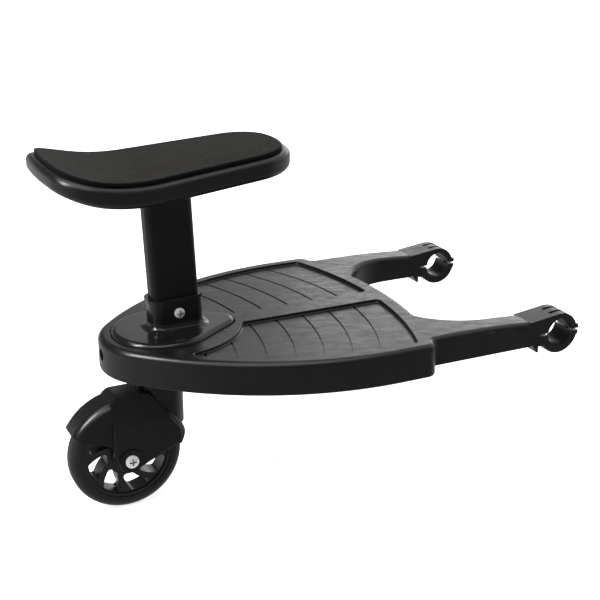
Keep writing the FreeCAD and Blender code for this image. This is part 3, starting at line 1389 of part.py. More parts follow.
washer = new_body("kingpin_washer")
washer_sketch = new_sketch(washer, "XY_Plane", "washer_outline")
ring(washer_sketch, ("0", "0"), "washer_radius")
ring(washer_sketch, ("0", "0"), "kingpin_radius + pilot_clearance")
pad(washer, "washer", washer_sketch, "washer_thickness")
put(washer, ("-swivel_reach", "0", WASHER_LOW))
kingpin_nut = hex_nut("kingpin_nut", "kingpin_nut_radius", "kingpin_radius + pilot_clearance",
                      "kingpin_nut_height")
put(kingpin_nut, ("-swivel_reach", "0", NUT_LOW))

# Fork: hood over the wheel, leaning cheeks, bosses round the axle and a round crown
fork = new_body("caster_fork")
hood_sketch = new_sketch(fork, "XZ_Plane", "hood_outline")
HOOD = "wheel_radius + hood_clearance + hood_wall"
hood = number(HOOD)
centre_x = -number("wheel_reach")
centre_z = -number("wheel_drop")
lip_rise = math.sqrt(hood ** 2 - number("hood_lip_back") ** 2)
front_run = math.sqrt(hood ** 2 - number("hood_front_rise") ** 2)
boss_side = number("axle_boss_radius") / math.sqrt(2)
AXLE = ("-wheel_reach", "-wheel_drop")
BOSS_ARC = arc("axle_boss_radius", -1, AXLE)
BOSS_RIGHT = (
    (centre_x + boss_side, "-sizes.wheel_reach + sizes.axle_boss_radius*cos(45)"), centre_z - boss_side)
BOSS_LEFT = (
    (centre_x - boss_side, "-sizes.wheel_reach - sizes.axle_boss_radius*cos(45)"), centre_z - boss_side)
outline(
    hood_sketch,
    [
        ("-wheel_reach - hood_lip_back", centre_z + lip_rise),
        (centre_x + front_run, "-wheel_drop + hood_front_rise"),
        ("-wheel_reach + cheek_front", "-wheel_drop + cheek_foot"),
        BOSS_RIGHT,
        BOSS_LEFT,
        ("-wheel_reach - cheek_back", "-wheel_drop + hood_foot"),
    ],
    [arc(HOOD, -1, AXLE), None, None, BOSS_ARC, None, None],
)
hood_pad = pad(fork, "hood", hood_sketch, "2*hood_half_width", both=True)


def hood_edge(edge):
    """True for the two long edges of the hood."""
    if edge.Curve.TypeId != "Part::GeomCircle":
        return False
    return abs(edge.Curve.Radius - hood) < 1e-3


hood_round = rounded(fork, "hood_rounding", hood_pad, hood_edge, "hood_round")
cheek_sketch = new_sketch(fork, "XZ_Plane", "cheek_outline")
outline(
    cheek_sketch,
    [
        ("-wheel_reach - cheek_back", "-wheel_drop + cheek_top"),
        ("-wheel_reach + cheek_shoulder", "-wheel_drop + cheek_top"),
        ("-wheel_reach + cheek_slope", "-wheel_drop + cheek_slope_foot"),
        ("-wheel_reach + cheek_front", "-wheel_drop + cheek_slope_foot - cheek_corner"),
        ("-wheel_reach + cheek_front", "-wheel_drop + cheek_foot + cheek_corner"),
        ("-wheel_reach + cheek_front - cheek_corner", "-wheel_drop + cheek_foot"),
        BOSS_RIGHT,
        BOSS_LEFT,
        ("-wheel_reach - cheek_back", "-wheel_drop + cheek_foot"),
    ],
    [None, None, None, None, arc("cheek_corner", -1), None, BOSS_ARC, None, None],
)
cheek_pad = pad(fork, "cheek", cheek_sketch, "2*cheek_half_width", both=True)
cheek_top_round = rounded(
    fork, "cheek_top_rounding", cheek_pad,
    lambda edge: level(edge, number("cheek_top - wheel_drop"))
    and abs(spread(edge, "y") - number("2*cheek_half_width")) < 1e-3, "cheek_top_round")
cheek_round = rounded(
    fork, "cheek_rounding", cheek_top_round,
    lambda edge: abs(abs(edge.BoundBox.YMin) - number("cheek_half_width")) < 1e-3
    and spread(edge, "y") < 1e-3, "cheek_round")
lean_sketch = new_sketch(fork, "YZ_Plane", "cheek_lean_outline", "-wheel_reach - cheek_back")
for side in ("", "-"):
    outline(
        lean_sketch,
        [(side + "cheek_half_width", "-wheel_drop + lean_foot"),
         (side + "lean_half_width", "-wheel_drop + cheek_top"),
         (side + "2*cheek_half_width", "-wheel_drop + cheek_top + cheek_round"),
         (side + "2*cheek_half_width", "-wheel_drop + lean_foot")],
        [None] * 4,
    )
lean_cut = pocket(fork, "cheek_lean", lean_sketch, "cheek_back + cheek_front", flip=True)
crown_sketch = new_sketch(fork, "XY_Plane", "crown_outline", FORK_TOP)
outline(
    crown_sketch,
    [("-swivel_reach", "crown_radius"), ("-swivel_reach", "-crown_radius"),
     ("-swivel_reach + crown_shift", "-crown_radius"), ("-swivel_reach + crown_shift", "crown_radius")],
    [arc(number("crown_radius"), 1, ("-swivel_reach", None)), None,
     arc(number("crown_radius"), 1, ("-swivel_reach + crown_shift", None)), None],
)
crown = pad(fork, "crown", crown_sketch, "crown_depth - board_depth - bush_flange - fork_clearance",
            flip=True)
crown_round = rounded(
    fork, "crown_rounding", crown,
    lambda edge: level(edge, number(FORK_TOP)), "crown_round")
axle_boss_sketch = new_sketch(fork, "XZ_Plane", "axle_boss_outline")
ring(axle_boss_sketch, AXLE, "axle_boss_radius - cheek_round")
axle_boss = pad(fork, "axle_boss", axle_boss_sketch, "2*axle_boss_half_width", both=True)
slot_sketch = new_sketch(fork, "XZ_Plane", "wheel_slot_outline")
ring(slot_sketch, AXLE, "wheel_radius + hood_clearance")
slot = pocket(fork, "wheel_slot", slot_sketch, "wheel_width + 2*slot_side", both=True)
axle_hole_sketch = new_sketch(fork, "XZ_Plane", "axle_hole_outline")
ring(axle_hole_sketch, AXLE, "axle_radius + axle_clearance")
axle_hole = pocket(fork, "axle_hole", axle_hole_sketch, "3*axle_boss_half_width", both=True)
pin_hole_sketch = new_sketch(fork, "XY_Plane", "kingpin_hole_outline", FORK_TOP)
ring(pin_hole_sketch, ("-swivel_reach", "0"), "kingpin_radius + pilot_clearance")
pin_hole = pocket(fork, "kingpin_hole", pin_hole_sketch, "kingpin_grip")

axle = cross_screw("axle_bolt", "axle_radius", "axle_length", "axle_head_radius", "axle_head_height")
put(axle, ("-wheel_reach", "-axle_boss_half_width", "-wheel_drop"), (1, 0, 0), 90)
axle_nut = hex_nut("axle_nut", "axle_nut_radius", "axle_radius + pilot_clearance", "axle_nut_height")
put(axle_nut, ("-wheel_reach", "axle_boss_half_width", "-wheel_drop"), (1, 0, 0), -90)
spacer = new_body("axle_spacer_left")
spacer_sketch = new_sketch(spacer, "XZ_Plane", "spacer_outline", "-0.5*wheel_width - slot_side")
ring(spacer_sketch, ("0", "0"), "spacer_radius")
ring(spacer_sketch, ("0", "0"), "axle_radius + pilot_clearance")
pad(spacer, "spacer", spacer_sketch, "slot_side - spacer_clearance")
put(spacer, ("-wheel_reach", "0", "-wheel_drop"))
axle_spacers = group("axle_spacers", [spacer, mirrored_copy("axle_spacer_right", spacer)])

# Wheel: rim with swept spokes, tyre, two bearings and the sleeve between them
rim_body = new_body("wheel_rim")
rim_sketch = new_sketch(rim_body, "XY_Plane", "rim_profile")
SHOULDER = "0.5*wheel_width - bearing_width"
LOW_SHOULDER = "-0.5*wheel_width + bearing_width"
outline(
    rim_sketch,
    [
        ("hub_bore", LOW_SHOULDER), ("bearing_radius", LOW_SHOULDER),
        ("bearing_radius", "-0.5*wheel_width"), ("hub_radius", "-0.5*wheel_width"),
        ("hub_radius", "-0.5*web_width"), ("rim_inner_radius", "-0.5*web_width"),
        ("rim_inner_radius", "-0.5*wheel_width + rim_side"),
        ("rim_radius", "-0.5*wheel_width + rim_side"),
        ("rim_radius", "0.5*wheel_width - rim_side"),
        ("rim_inner_radius", "0.5*wheel_width - rim_side"),
        ("rim_inner_radius", "0.5*web_width"), ("hub_radius", "0.5*web_width"),
        ("hub_radius", "0.5*wheel_width"), ("bearing_radius", "0.5*wheel_width"),
        ("bearing_radius", SHOULDER), ("hub_bore", SHOULDER),
    ],
    [None] * 16,
)
spin(rim_body, "rim_turned", rim_sketch, "Y_Axis")


def polar(radius, angle):
    """Point at a radius and an angle, both sums of sizes."""
    turn = math.radians(number(angle))
    return (
        (number(radius) * math.cos(turn), f"({formula(radius)})*cos({formula(angle)})"),
        (number(radius) * math.sin(turn), f"({formula(radius)})*sin({formula(angle)})"),
    )


gap_sketch = new_sketch(rim_body, "XZ_Plane", "spoke_gap_outline")
outline(
    gap_sketch,
    [polar("gap_outer", "gap_phase - gap_outer_angle"),
     polar("gap_outer", "gap_phase + gap_outer_angle"),
     polar("gap_inner", "gap_phase + gap_lead + gap_inner_angle"),
     polar("gap_inner", "gap_phase + gap_lead - gap_inner_angle")],
    [arc("gap_outer", 1), arc("gap_bow", -1), arc("gap_inner", -1), arc("gap_bow", 1)],
)
gap = pocket(rim_body, "spoke_gap", gap_sketch, "2*wheel_width", both=True)
gaps = rim_body.newObject("PartDesign::PolarPattern", "spoke_gaps")
gaps.Originals = [gap]
gaps.Axis = (origin_item(rim_body, "Y_Axis"), [""])
gaps.Angle = 360
tie(gaps, "Occurrences", "spoke_count")
rim_body.Tip = gaps
doc.recompute()
gap_rounding = rounded(
    rim_body, "spoke_gap_rounding", gaps,
    lambda edge: spread(edge, "x") < 1e-3 and spread(edge, "z") < 1e-3
    and abs(spread(edge, "y") - number("web_width")) < 1e-3, "gap_round")
put(rim_body, ("-wheel_reach", "0", "-wheel_drop"))

tyre = new_body("tyre")
tyre_sketch = new_sketch(tyre, "XY_Plane", "tyre_profile")
outline(
    tyre_sketch,
    [
        ("rim_radius", "-0.5*wheel_width"), ("wheel_radius - tyre_shoulder", "-0.5*wheel_width"),
        ("wheel_radius", "-0.5*wheel_width + tyre_shoulder"),
        ("wheel_radius", "0.5*wheel_width - tyre_shoulder"),
        ("wheel_radius - tyre_shoulder", "0.5*wheel_width"), ("rim_radius", "0.5*wheel_width"),
    ],
    [None, arc("tyre_shoulder", 1), None, arc("tyre_shoulder", 1), None, None],
)
spin(tyre, "tyre_turned", tyre_sketch, "Y_Axis")
put(tyre, ("-wheel_reach", "0", "-wheel_drop"))

bearing = new_body("wheel_bearing_left")
bearing_sketch = new_sketch(bearing, "XY_Plane", "bearing_profile")
BEARING_BORE = "axle_radius + running_clearance"
OUT, IN = "0.5*wheel_width", "0.5*wheel_width - bearing_width"
outline(
    bearing_sketch,
    [
        (BEARING_BORE, IN), ("bearing_radius", IN), ("bearing_radius", OUT),
        ("bearing_radius - bearing_ring", OUT), ("bearing_radius - bearing_ring", OUT + " - bearing_shield"),
        (BEARING_BORE + " + bearing_ring", OUT + " - bearing_shield"),
        (BEARING_BORE + " + bearing_ring", OUT), (BEARING_BORE, OUT),
    ],
    [None] * 8,
)
spin(bearing, "bearing_turned", bearing_sketch, "Y_Axis")
put(bearing, ("-wheel_reach", "0", "-wheel_drop"))
wheel_bearings = group("wheel_bearings", [bearing, mirrored_copy("wheel_bearing_right", bearing)])

sleeve = new_body("bearing_sleeve")
sleeve_sketch = new_sketch(sleeve, "XZ_Plane", "sleeve_outline")
ring(sleeve_sketch, ("0", "0"), "sleeve_radius")
ring(sleeve_sketch, ("0", "0"), "axle_radius + sleeve_clearance")
pad(sleeve, "sleeve", sleeve_sketch, "wheel_width - 2*bearing_width", both=True)
put(sleeve, ("-wheel_reach", "0", "-wheel_drop"))
doc.recompute()

# Every node is checked and written
NODES = [
    deck, jaw, jaw_right, clamp_screws, clamp_nuts, socket, socket_screws, post, post_bolt, post_nut,
    pan, seat_screws, seat_pad, bush, kingpin, washer, kingpin_nut, fork, axle, axle_nut,
    axle_spacers, rim_body, tyre, wheel_bearings, sleeve,
]
for item in doc.Objects:
    if "Invalid" in item.State or "Error" in item.State:
        raise RuntimeError(item.Label + " is in error")
for node in NODES:
    shape = node.Shape
    if shape.isNull() or not shape.isValid() or not shape.Solids:
        raise RuntimeError(node.Label + " has no valid solid")
    shape.exportStep(f"parts/{node.Label}.step")
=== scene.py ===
"""Looks of a stroller ride-on board: its foam pad, its finishes, and a plain studio.

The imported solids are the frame. They stay where they are and get finishes made of
shader nodes. The soft pad on the seat is a new surface that stands for its solid.
"""

import math

import bmesh
import bpy
import numpy as np
from bpy.props import FloatProperty, FloatVectorProperty, PointerProperty
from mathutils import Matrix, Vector


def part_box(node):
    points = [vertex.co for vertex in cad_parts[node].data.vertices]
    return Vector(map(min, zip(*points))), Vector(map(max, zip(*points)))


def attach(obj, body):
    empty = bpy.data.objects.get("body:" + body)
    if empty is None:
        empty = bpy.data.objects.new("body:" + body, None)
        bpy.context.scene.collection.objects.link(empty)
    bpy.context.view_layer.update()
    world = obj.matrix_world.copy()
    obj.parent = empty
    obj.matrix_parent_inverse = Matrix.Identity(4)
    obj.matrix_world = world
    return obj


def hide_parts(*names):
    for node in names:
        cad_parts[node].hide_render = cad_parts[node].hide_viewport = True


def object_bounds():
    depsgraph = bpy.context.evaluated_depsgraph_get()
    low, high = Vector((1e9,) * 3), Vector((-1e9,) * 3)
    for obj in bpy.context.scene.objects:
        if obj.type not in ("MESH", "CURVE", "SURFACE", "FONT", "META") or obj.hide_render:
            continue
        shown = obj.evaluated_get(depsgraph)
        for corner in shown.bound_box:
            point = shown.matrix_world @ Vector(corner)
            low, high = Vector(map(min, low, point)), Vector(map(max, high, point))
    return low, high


bl_info = {
    "name": "Ride-on board",
    "version": (1, 0, 0),
    "blender": (4, 5, 0),
    "location": "View3D > Sidebar > Ride-on board",
    "description": "Foam pad, moulded finishes and studio for a stroller ride-on board",
    "category": "Object",
}

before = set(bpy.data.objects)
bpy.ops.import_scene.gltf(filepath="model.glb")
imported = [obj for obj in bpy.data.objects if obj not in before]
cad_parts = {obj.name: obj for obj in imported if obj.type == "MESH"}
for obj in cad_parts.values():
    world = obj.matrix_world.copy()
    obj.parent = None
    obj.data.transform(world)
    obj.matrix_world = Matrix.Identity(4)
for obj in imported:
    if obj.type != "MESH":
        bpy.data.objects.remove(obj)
CAD_LOW, CAD_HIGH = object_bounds()
PAD_LOW, PAD_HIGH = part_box("seat_pad")
MM = 0.001

# Colour sockets of a Mix node
MIX_FIRST = 6
MIX_SECOND = 7
MIX_RESULT = 2

# Shares of a moulded finish's base colour for its random tone, for rubbed places and painted sheen with
# their lift, and for painted shade in hollows
DEEP_SHARE = 0.78
LIGHT_SHARE = 1.22
RUBBED_AND_SHEEN_SHARE = 1.6
RUBBED_AND_SHEEN_LIFT = 0.02
HOLLOW_SHADE_SHARE = 0.25

# Shares of a metal's base colour for brushed streaks, for worn edges with a painted highlight, and for
# painted shade in recesses
STREAK_SHARES = (0.80, 1.1)
BRIGHT_EDGE_SHARE = 1.2
RECESS_SHADE_SHARE = 0.03

# Shares of the foam's base colour, with painted shade on its sides, and how many of its marks fit in a
# metre
PATCH_SHARES = (0.86, 1.12)
FLECK_SHARE = 2.3
SIDE_SHADE_SHARE = 0.28
FOAM_CELLS = 1250.0
FOAM_PATCHES = 38.0
FOAM_FIBRES = 340.0

# Changes of roughness with the grain, the brushing, the dust, the scuffs and the painted sheen clouds
GRAIN_GLOSS = 0.16
BRUSHED_GLOSS = 0.14
DUST_GLOSS = 1.5
SCUFF_GLOSS = 0.3
SHEEN_CLOUD_GLOSS = 0.12

# Rise of the normal where feet leave scuffs and where the painted sheen lies, and turns of the scuffs and
# the sheen clouds about the vertical in radians
TRODDEN_AND_SHEEN_RISE = (0.60, 0.97)
SCUFF_TURNS = (0.42, -0.95)
SHEEN_CLOUD_TURN = 0.35

# Rings of the foam pad: under its base, round its upper edge, on the shoulder and over the top
BASE_RINGS = 9
ROLL_RINGS = 8
SHOULDER_RINGS = 5
TOP_RINGS = 22

# Smooth steps of the surround's brightness along each axis, as the camera sees it
LOW_TO_HIGH = (-0.12, 0.25)
FRONT_TO_BACK = (-0.80, 0.10)
LEFT_TO_RIGHT = (0.05, 0.45)

# Floor: half its side in metres, its cloudy patches in a metre, and their share of its colour
FLOOR_HALF = 60.0
FLOOR_PATCHES = 3.0
FLOOR_SHADE = 0.985

# Lights: the point that the soft boxes face, their places and sizes in metres, and the overhead sun
LIGHT_AIM = (-0.20, 0.0, 0.02)
LEFT_BOX_PLACE = (-1.40, -0.10, 0.95)
LEFT_BOX_SIZE = (0.25, 0.72)
BACK_BOX_PLACE = (1.13, 1.48, 0.60)
BACK_BOX_SIZE = (1.20, 0.50)
SUN_DIRECTION = (0.30, 0.10, -1.0)
SUN_SPREAD = math.radians(70)

# Camera: its place and the reach of its view in metres, its lens and sensor in millimetres
CAMERA_PLACE = (-0.7056, -1.0194, 0.4418)
CAMERA_DIRECTION = (0.4032, 0.8473, -0.3458)
CAMERA_REACH = (0.05, 200.0)
LENS_LENGTH = 73.25
SENSOR_WIDTH = 36.0


# Sizes and colours that a user would change


def length(name, text, default):
    """A size in metres with a name and a description."""
    return FloatProperty(name=name, description=text, default=default, unit="LENGTH", precision=5)


def colour(name, text, default):
    """A linear colour."""
    return FloatVectorProperty(
        name=name, description=text, default=default, size=3, min=0.0, max=1.0, subtype="COLOR")


class PadShape(bpy.types.PropertyGroup):
    """Plan, saddle line and edge of the foam pad."""

    nose_tip: length("Nose tip", "Front end of the pad along the board", PAD_HIGH.x)
    back_tip: length("Back tip", "Rear end of the pad along the board", PAD_LOW.x)
    half_width: length("Half width", "Half the width of the pad at its back corners", 65 * MM)
    side_taper: FloatProperty(
        name="Side taper", description="Turn of the sides towards the nose",
        default=math.radians(6), subtype="ANGLE")
    nose_bow: length("Nose bow", "Radius of the nose", 95 * MM)
    nose_corner: length("Nose corner", "Radius of the nose's corners", 40 * MM)
    back_bow: length("Back bow", "Radius of the back edge", 260 * MM)
    back_corner: length("Back corner", "Radius of the back corners", 31 * MM)
    dip_place: length("Dip place", "Lowest place of the saddle along the board", -379 * MM)
    dip_height: length("Dip height", "Height of the pan under the lowest place", PAD_LOW.z)
    nose_run: length("Nose run", "Straight run of the saddle to the front", 147 * MM)
    nose_rise: length("Nose rise", "Rise of that run", 12 * MM)
    kick: length("Kick", "Radius of the upward sweep at the back", 185 * MM)
    thickness: length("Thickness", "Thickness of the foam", 5 * MM)
    edge_roll: length("Edge roll", "Rounding of the upper edge", 1.5 * MM)
    crown: length("Crown", "Swell of the foam in the middle", 0.9 * MM)


class FinishColours(bpy.types.PropertyGroup):
    """Base colours of the finishes."""

    board: colour("Board", "Satin moulded board", (0.0057, 0.0057, 0.0061))
    shell: colour("Seat shell", "Soft gloss seat pan", (0.0045, 0.0045, 0.0048))
    foam: colour("Foam", "Warm dark foam", (0.0134, 0.0126, 0.0114))
    socket: colour("Socket", "Gloss flange and collar", (0.0070, 0.0070, 0.0075))
    post: colour("Post", "Powder coat of the post", (0.0045, 0.0045, 0.0047))
    fork: colour("Fork", "Satin caster fork", (0.0050, 0.0050, 0.0058))
    rim: colour("Rim", "Moulded wheel rim", (0.0080, 0.0080, 0.0084))
    tyre: colour("Tyre", "Dark grey tyre", (0.0085, 0.0085, 0.0095))
    chrome: colour("Chrome", "Bright plated screws", (0.78, 0.78, 0.79))
    steel: colour("Steel", "Ground bearing steel", (0.52, 0.52, 0.54))
    nylon: colour("Nylon", "Natural bush", (0.62, 0.60, 0.55))
    dust: colour("Dust", "Fine pale dust", (0.30, 0.29, 0.27))


class StudioLight(bpy.types.PropertyGroup):
    """Light and floor of the studio."""

    back_sky: FloatProperty(name="Back sky", description="Upper surround behind the board", default=0.90)
    front_sky: FloatProperty(name="Front sky", description="Upper surround before the board", default=0.13)
    left_sky: FloatProperty(name="Left sky", description="Upper surround left of the board", default=0.14)
    back_low: FloatProperty(name="Back low", description="Lower surround behind the board", default=0.62)
    front_low: FloatProperty(name="Front low", description="Lower surround before the board", default=0.16)
    overhead: FloatProperty(name="Overhead", description="Strength of the soft overhead sun", default=2.1)
    floor_glow: FloatProperty(name="Floor glow", description="Light of the floor itself", default=0.80)
    left_box: FloatProperty(
        name="Left box", description="Power of the soft box on the left", default=16.0, subtype="POWER")
    back_box: FloatProperty(
        name="Back box", description="Power of the wide soft box behind", default=3.5, subtype="POWER")
    floor: colour("Floor", "Pale floor", (0.90, 0.90, 0.90))


class RideBoardSettings(bpy.types.PropertyGroup):
    """All settings of the ride-on board."""

    pad: PointerProperty(type=PadShape, name="Pad", description="Foam pad")
    colours: PointerProperty(type=FinishColours, name="Colours", description="Finishes")
    studio: PointerProperty(type=StudioLight, name="Studio", description="Light and floor")


# Node helpers


def node(tree, kind, settings=None, values=None):
    """Adds a shader node, sets its options and the values of its free sockets."""
    made = tree.nodes.new("ShaderNode" + kind)
    for key, value in (settings or {}).items():
        setattr(made, key, value)
    for key, value in (values or {}).items():
        made.inputs[key].default_value = value
    return made


def join(tree, start, end):
    """Links one output to one input, each given as a node and a socket's name or number."""
    tree.links.new(start[0].outputs[start[1]], end[0].inputs[end[1]])


def math_node(tree, operation, first, second):
    """A mathematical operation on two values, each a number or a node and its output."""
    made = node(tree, "Math", {"operation": operation})
    for slot, value in enumerate((first, second)):
        if isinstance(value, tuple):
            join(tree, value, (made, slot))
        else:
            made.inputs[slot].default_value = value
    return (made, 0)


def straight_line(tree, value, slope, start):
    """A value times a slope, plus a start."""
    made = math_node(tree, "MULTIPLY_ADD", value, slope)
    made[0].inputs[2].default_value = start
    return made


def mix_colours(tree, factor, first, second):
    """Blend of two colours by a mask, each a colour or a node and its output."""
    made = node(tree, "Mix", {"data_type": "RGBA"})
    join(tree, factor, (made, 0))
    for slot, value in ((MIX_FIRST, first), (MIX_SECOND, second)):
        if isinstance(value[0], bpy.types.Node):
            join(tree, value, (made, slot))
        else:
            made.inputs[slot].default_value = (*value, 1.0)
    return (made, MIX_RESULT)


def scaled(base, share, lift=0.0):
    """A colour times a share plus a lift, no brighter than white."""
    return tuple(min(1.0, share * part + lift) for part in base)


def noise(tree, vector, scale, detail=2.0, rough=0.55):
    """Noise on a vector, with its scale as a number or a node and its output."""
    made = node(tree, "TexNoise", None, {"Detail": detail, "Roughness": rough})
    join(tree, vector, (made, "Vector"))
    if isinstance(scale, tuple):
        join(tree, scale, (made, "Scale"))
    else:
        made.inputs["Scale"].default_value = scale
    return (made, 0)


def between(tree, value, low, high):
    """Smooth step from none at low to all at high."""
    made = node(
        tree, "MapRange", {"interpolation_type": "SMOOTHSTEP"}, {"From Min": low, "From Max": high})
    join(tree, value, (made, 0))
    return (made, 0)


def facing_up(tree, place, low, high):
    """How far a face looks up: a smooth step on the rise of its normal."""
    split = node(tree, "SeparateXYZ")
    join(tree, (place, "Normal"), (split, 0))
    return between(tree, (split, "Z"), low, high)


def drawn_out(tree, place, turn, pull):
    """Object coordinates turned about the vertical, then multiplied by a pull along each axis."""
    turned = node(tree, "Mapping", None, {"Rotation": (0.0, 0.0, turn)})
    join(tree, (place, "Object"), (turned, "Vector"))
    long = node(tree, "VectorMath", {"operation": "MULTIPLY"})
    join(tree, (turned, 0), (long, 0))
    join(tree, (pull, 0), (long, 1))
    return (long, 0)


def bump_surface(tree, shader, height):
    """Tilts a shader's normal by a height in metres."""
    bump = node(tree, "Bump", None, {"Strength": 1.0, "Distance": 1.0})
    join(tree, height, (bump, "Height"))
    join(tree, (bump, 0), (shader, "Normal"))


# Effects that the finishes share


def new_group(name, inputs, outputs):
    """A shader node group with named number sockets, its entry and its exit."""
    group = bpy.data.node_groups.new(name, "ShaderNodeTree")
    for label, default in inputs:
        item = group.interface.new_socket(label, in_out="INPUT", socket_type="NodeSocketFloat")
        item.default_value = default
    for label in outputs:
        group.interface.new_socket(label, in_out="OUTPUT", socket_type="NodeSocketFloat")
    return group, group.nodes.new("NodeGroupInput"), group.nodes.new("NodeGroupOutput")


def moulded_grain():
    """Fine mould grain and slow sink marks: a height in metres and a tone round one half."""
    group, entry, leave = new_group(
        "Moulded grain",
        [("Grain size", 0.6 * MM), ("Grain depth", 0.01 * MM),
         ("Ripple size", 30 * MM), ("Ripple depth", 0.1 * MM)],
        ["Height", "Tone"])
    place = node(group, "TexCoord")
    fine_scale = math_node(group, "DIVIDE", 1.0, (entry, "Grain size"))
    slow_scale = math_node(group, "DIVIDE", 1.0, (entry, "Ripple size"))
    fine = noise(group, (place, "Object"), fine_scale, detail=3.0, rough=0.6)
    slow = noise(group, (place, "Object"), slow_scale, detail=1.0, rough=0.4)
    fine_height = math_node(group, "MULTIPLY", fine, (entry, "Grain depth"))
    slow_height = math_node(group, "MULTIPLY", slow, (entry, "Ripple depth"))
    height = math_node(group, "ADD", fine_height, slow_height)
    tone = math_node(group, "MULTIPLY", math_node(group, "ADD", fine, slow), 0.5)
    join(group, height, (leave, "Height"))
    join(group, tone, (leave, "Tone"))
    return group


def worn_and_highlit_edges():
    """Rubbed edges, partly wear and partly a painted edge highlight: how far a rounded normal leaves the
    true one, broken up by noise.
    """
    group, entry, leave = new_group("Worn and highlit edges", [("Width", 0.8 * MM), ("Breakup", 4 * MM)], ["Mask"])
    place = node(group, "TexCoord")
    soft = node(group, "Bevel", {"samples": 4})
    join(group, (entry, "Width"), (soft, "Radius"))
    true = node(group, "NewGeometry")
    dot = node(group, "VectorMath", {"operation": "DOT_PRODUCT"})
    join(group, (soft, 0), (dot, 0))
    join(group, (true, "Normal"), (dot, 1))
    away = math_node(group, "SUBTRACT", 1.0, (dot, "Value"))
    sharp = between(group, away, low=0.01, high=0.16)
    scale = math_node(group, "DIVIDE", 1.0, (entry, "Breakup"))
    patchy = noise(group, (place, "Object"), scale, detail=4.0, rough=0.65)
    broken = between(group, patchy, low=0.36, high=0.66)
    join(group, math_node(group, "MULTIPLY", sharp, broken), (leave, "Mask"))
    return group


def settled_dust():
    """Dust on faces that look up: the normal's rise times a patchy, speckled noise."""
    group, entry, leave = new_group(
        "Settled dust", [("Patch size", 50 * MM), ("Speckle size", 1.2 * MM)], ["Mask"])
    place = node(group, "TexCoord")
    up = facing_up(group, place, low=0.45, high=0.98)
    patch_scale = math_node(group, "DIVIDE", 1.0, (entry, "Patch size"))
    speckle_scale = math_node(group, "DIVIDE", 1.0, (entry, "Speckle size"))
    clouds = noise(group, (place, "Object"), patch_scale, detail=3.0, rough=0.6)
    grains = noise(group, (place, "Object"), speckle_scale, detail=2.0, rough=0.7)
    patch = between(group, clouds, low=0.32, high=0.78)
    speckle = between(group, grains, low=0.48, high=0.75)
    lying = math_node(group, "MULTIPLY", up, patch)
    join(group, math_node(group, "MULTIPLY", lying, speckle), (leave, "Mask"))
    return group


def shoe_scuffs():
    """Thin scuffs on faces that look up: noise stretched along two turned axes and cut to its crests."""
    group, entry, leave = new_group("Shoe scuffs", [("Stretch", 900.0), ("Patch size", 80 * MM)], ["Mask"])
    place = node(group, "TexCoord")
    pull = node(group, "CombineXYZ", None, {"X": 28.0, "Z": 60.0})
    join(group, (entry, "Stretch"), (pull, "Y"))
    lines = []
    for turn in SCUFF_TURNS:
        streaks = noise(group, drawn_out(group, place, turn, pull), 1.0, detail=1.0, rough=0.5)
        lines.append(between(group, streaks, low=0.66, high=0.74))
    crossed = math_node(group, "MAXIMUM", *lines)
    scale = math_node(group, "DIVIDE", 1.0, (entry, "Patch size"))
    clouds = noise(group, (place, "Object"), scale, detail=2.0, rough=0.5)
    patch = between(group, clouds, low=0.42, high=0.70)
    up = facing_up(group, place, *TRODDEN_AND_SHEEN_RISE)
    scuffed = math_node(group, "MULTIPLY", crossed, patch)
    join(group, math_node(group, "MULTIPLY", scuffed, up), (leave, "Mask"))
    return group


def painted_sheen_clouds():
    """Painted sheen on faces that look up, in cloudy pale patches: noise drawn out along the board, cut to
    soft clouds.
    """
    group, entry, leave = new_group("Painted sheen clouds", [("Size", 6 * MM), ("Draw", 0.4)], ["Mask"])
    place = node(group, "TexCoord")
    pull = node(group, "CombineXYZ", None, {"Y": 1.0, "Z": 1.0})
    join(group, (entry, "Draw"), (pull, "X"))
    scale = math_node(group, "DIVIDE", 1.0, (entry, "Size"))
    clouds = noise(group, drawn_out(group, place, SHEEN_CLOUD_TURN, pull), scale, detail=3.0, rough=0.6)
    soft = between(group, clouds, low=0.36, high=0.68)
    up = facing_up(group, place, *TRODDEN_AND_SHEEN_RISE)
    join(group, math_node(group, "MULTIPLY", up, soft), (leave, "Mask"))
    return group


def painted_hollow_shade():
    """Painted shade in grooves and inner corners: how much open air a point sees within a short reach."""
    group, entry, leave = new_group("Painted hollow shade", [("Reach", 3 * MM)], ["Open"])
    hollow = node(group, "AmbientOcclusion", {"samples": 8, "only_local": True})
    join(group, (entry, "Reach"), (hollow, "Distance"))
    join(group, between(group, (hollow, "AO"), low=0.35, high=0.85), (leave, "Open"))
    return group


def placed(tree, maker, values=None):
    """Places the node group of one effect in a material with its own values.

    The group has its maker's name in plain words, and is built where the file doesn't hold it yet.
    """
    name = maker.__name__.replace("_", " ").capitalize()
    made = tree.nodes.new("ShaderNodeGroup")
    made.node_tree = bpy.data.node_groups.get(name) or maker()
    for key, value in (values or {}).items():
        made.inputs[key].default_value = value
    return made


# Finishes


def new_material(name):
    """An empty node material with its Principled shader and output."""
    material = bpy.data.materials.new(name)
    material.use_nodes = True
    tree = material.node_tree
    tree.nodes.clear()
    shader = tree.nodes.new("ShaderNodeBsdfPrincipled")
    leave = tree.nodes.new("ShaderNodeOutputMaterial")
    tree.links.new(shader.outputs[0], leave.inputs[0])
    return material, tree, shader


def grained(tree, grain, ripple):
    """Places the mould grain, with a size and a depth for the grain and for the ripple."""
    return placed(tree, moulded_grain, {
        "Grain size": grain[0], "Grain depth": grain[1],
        "Ripple size": ripple[0], "Ripple depth": ripple[1]})


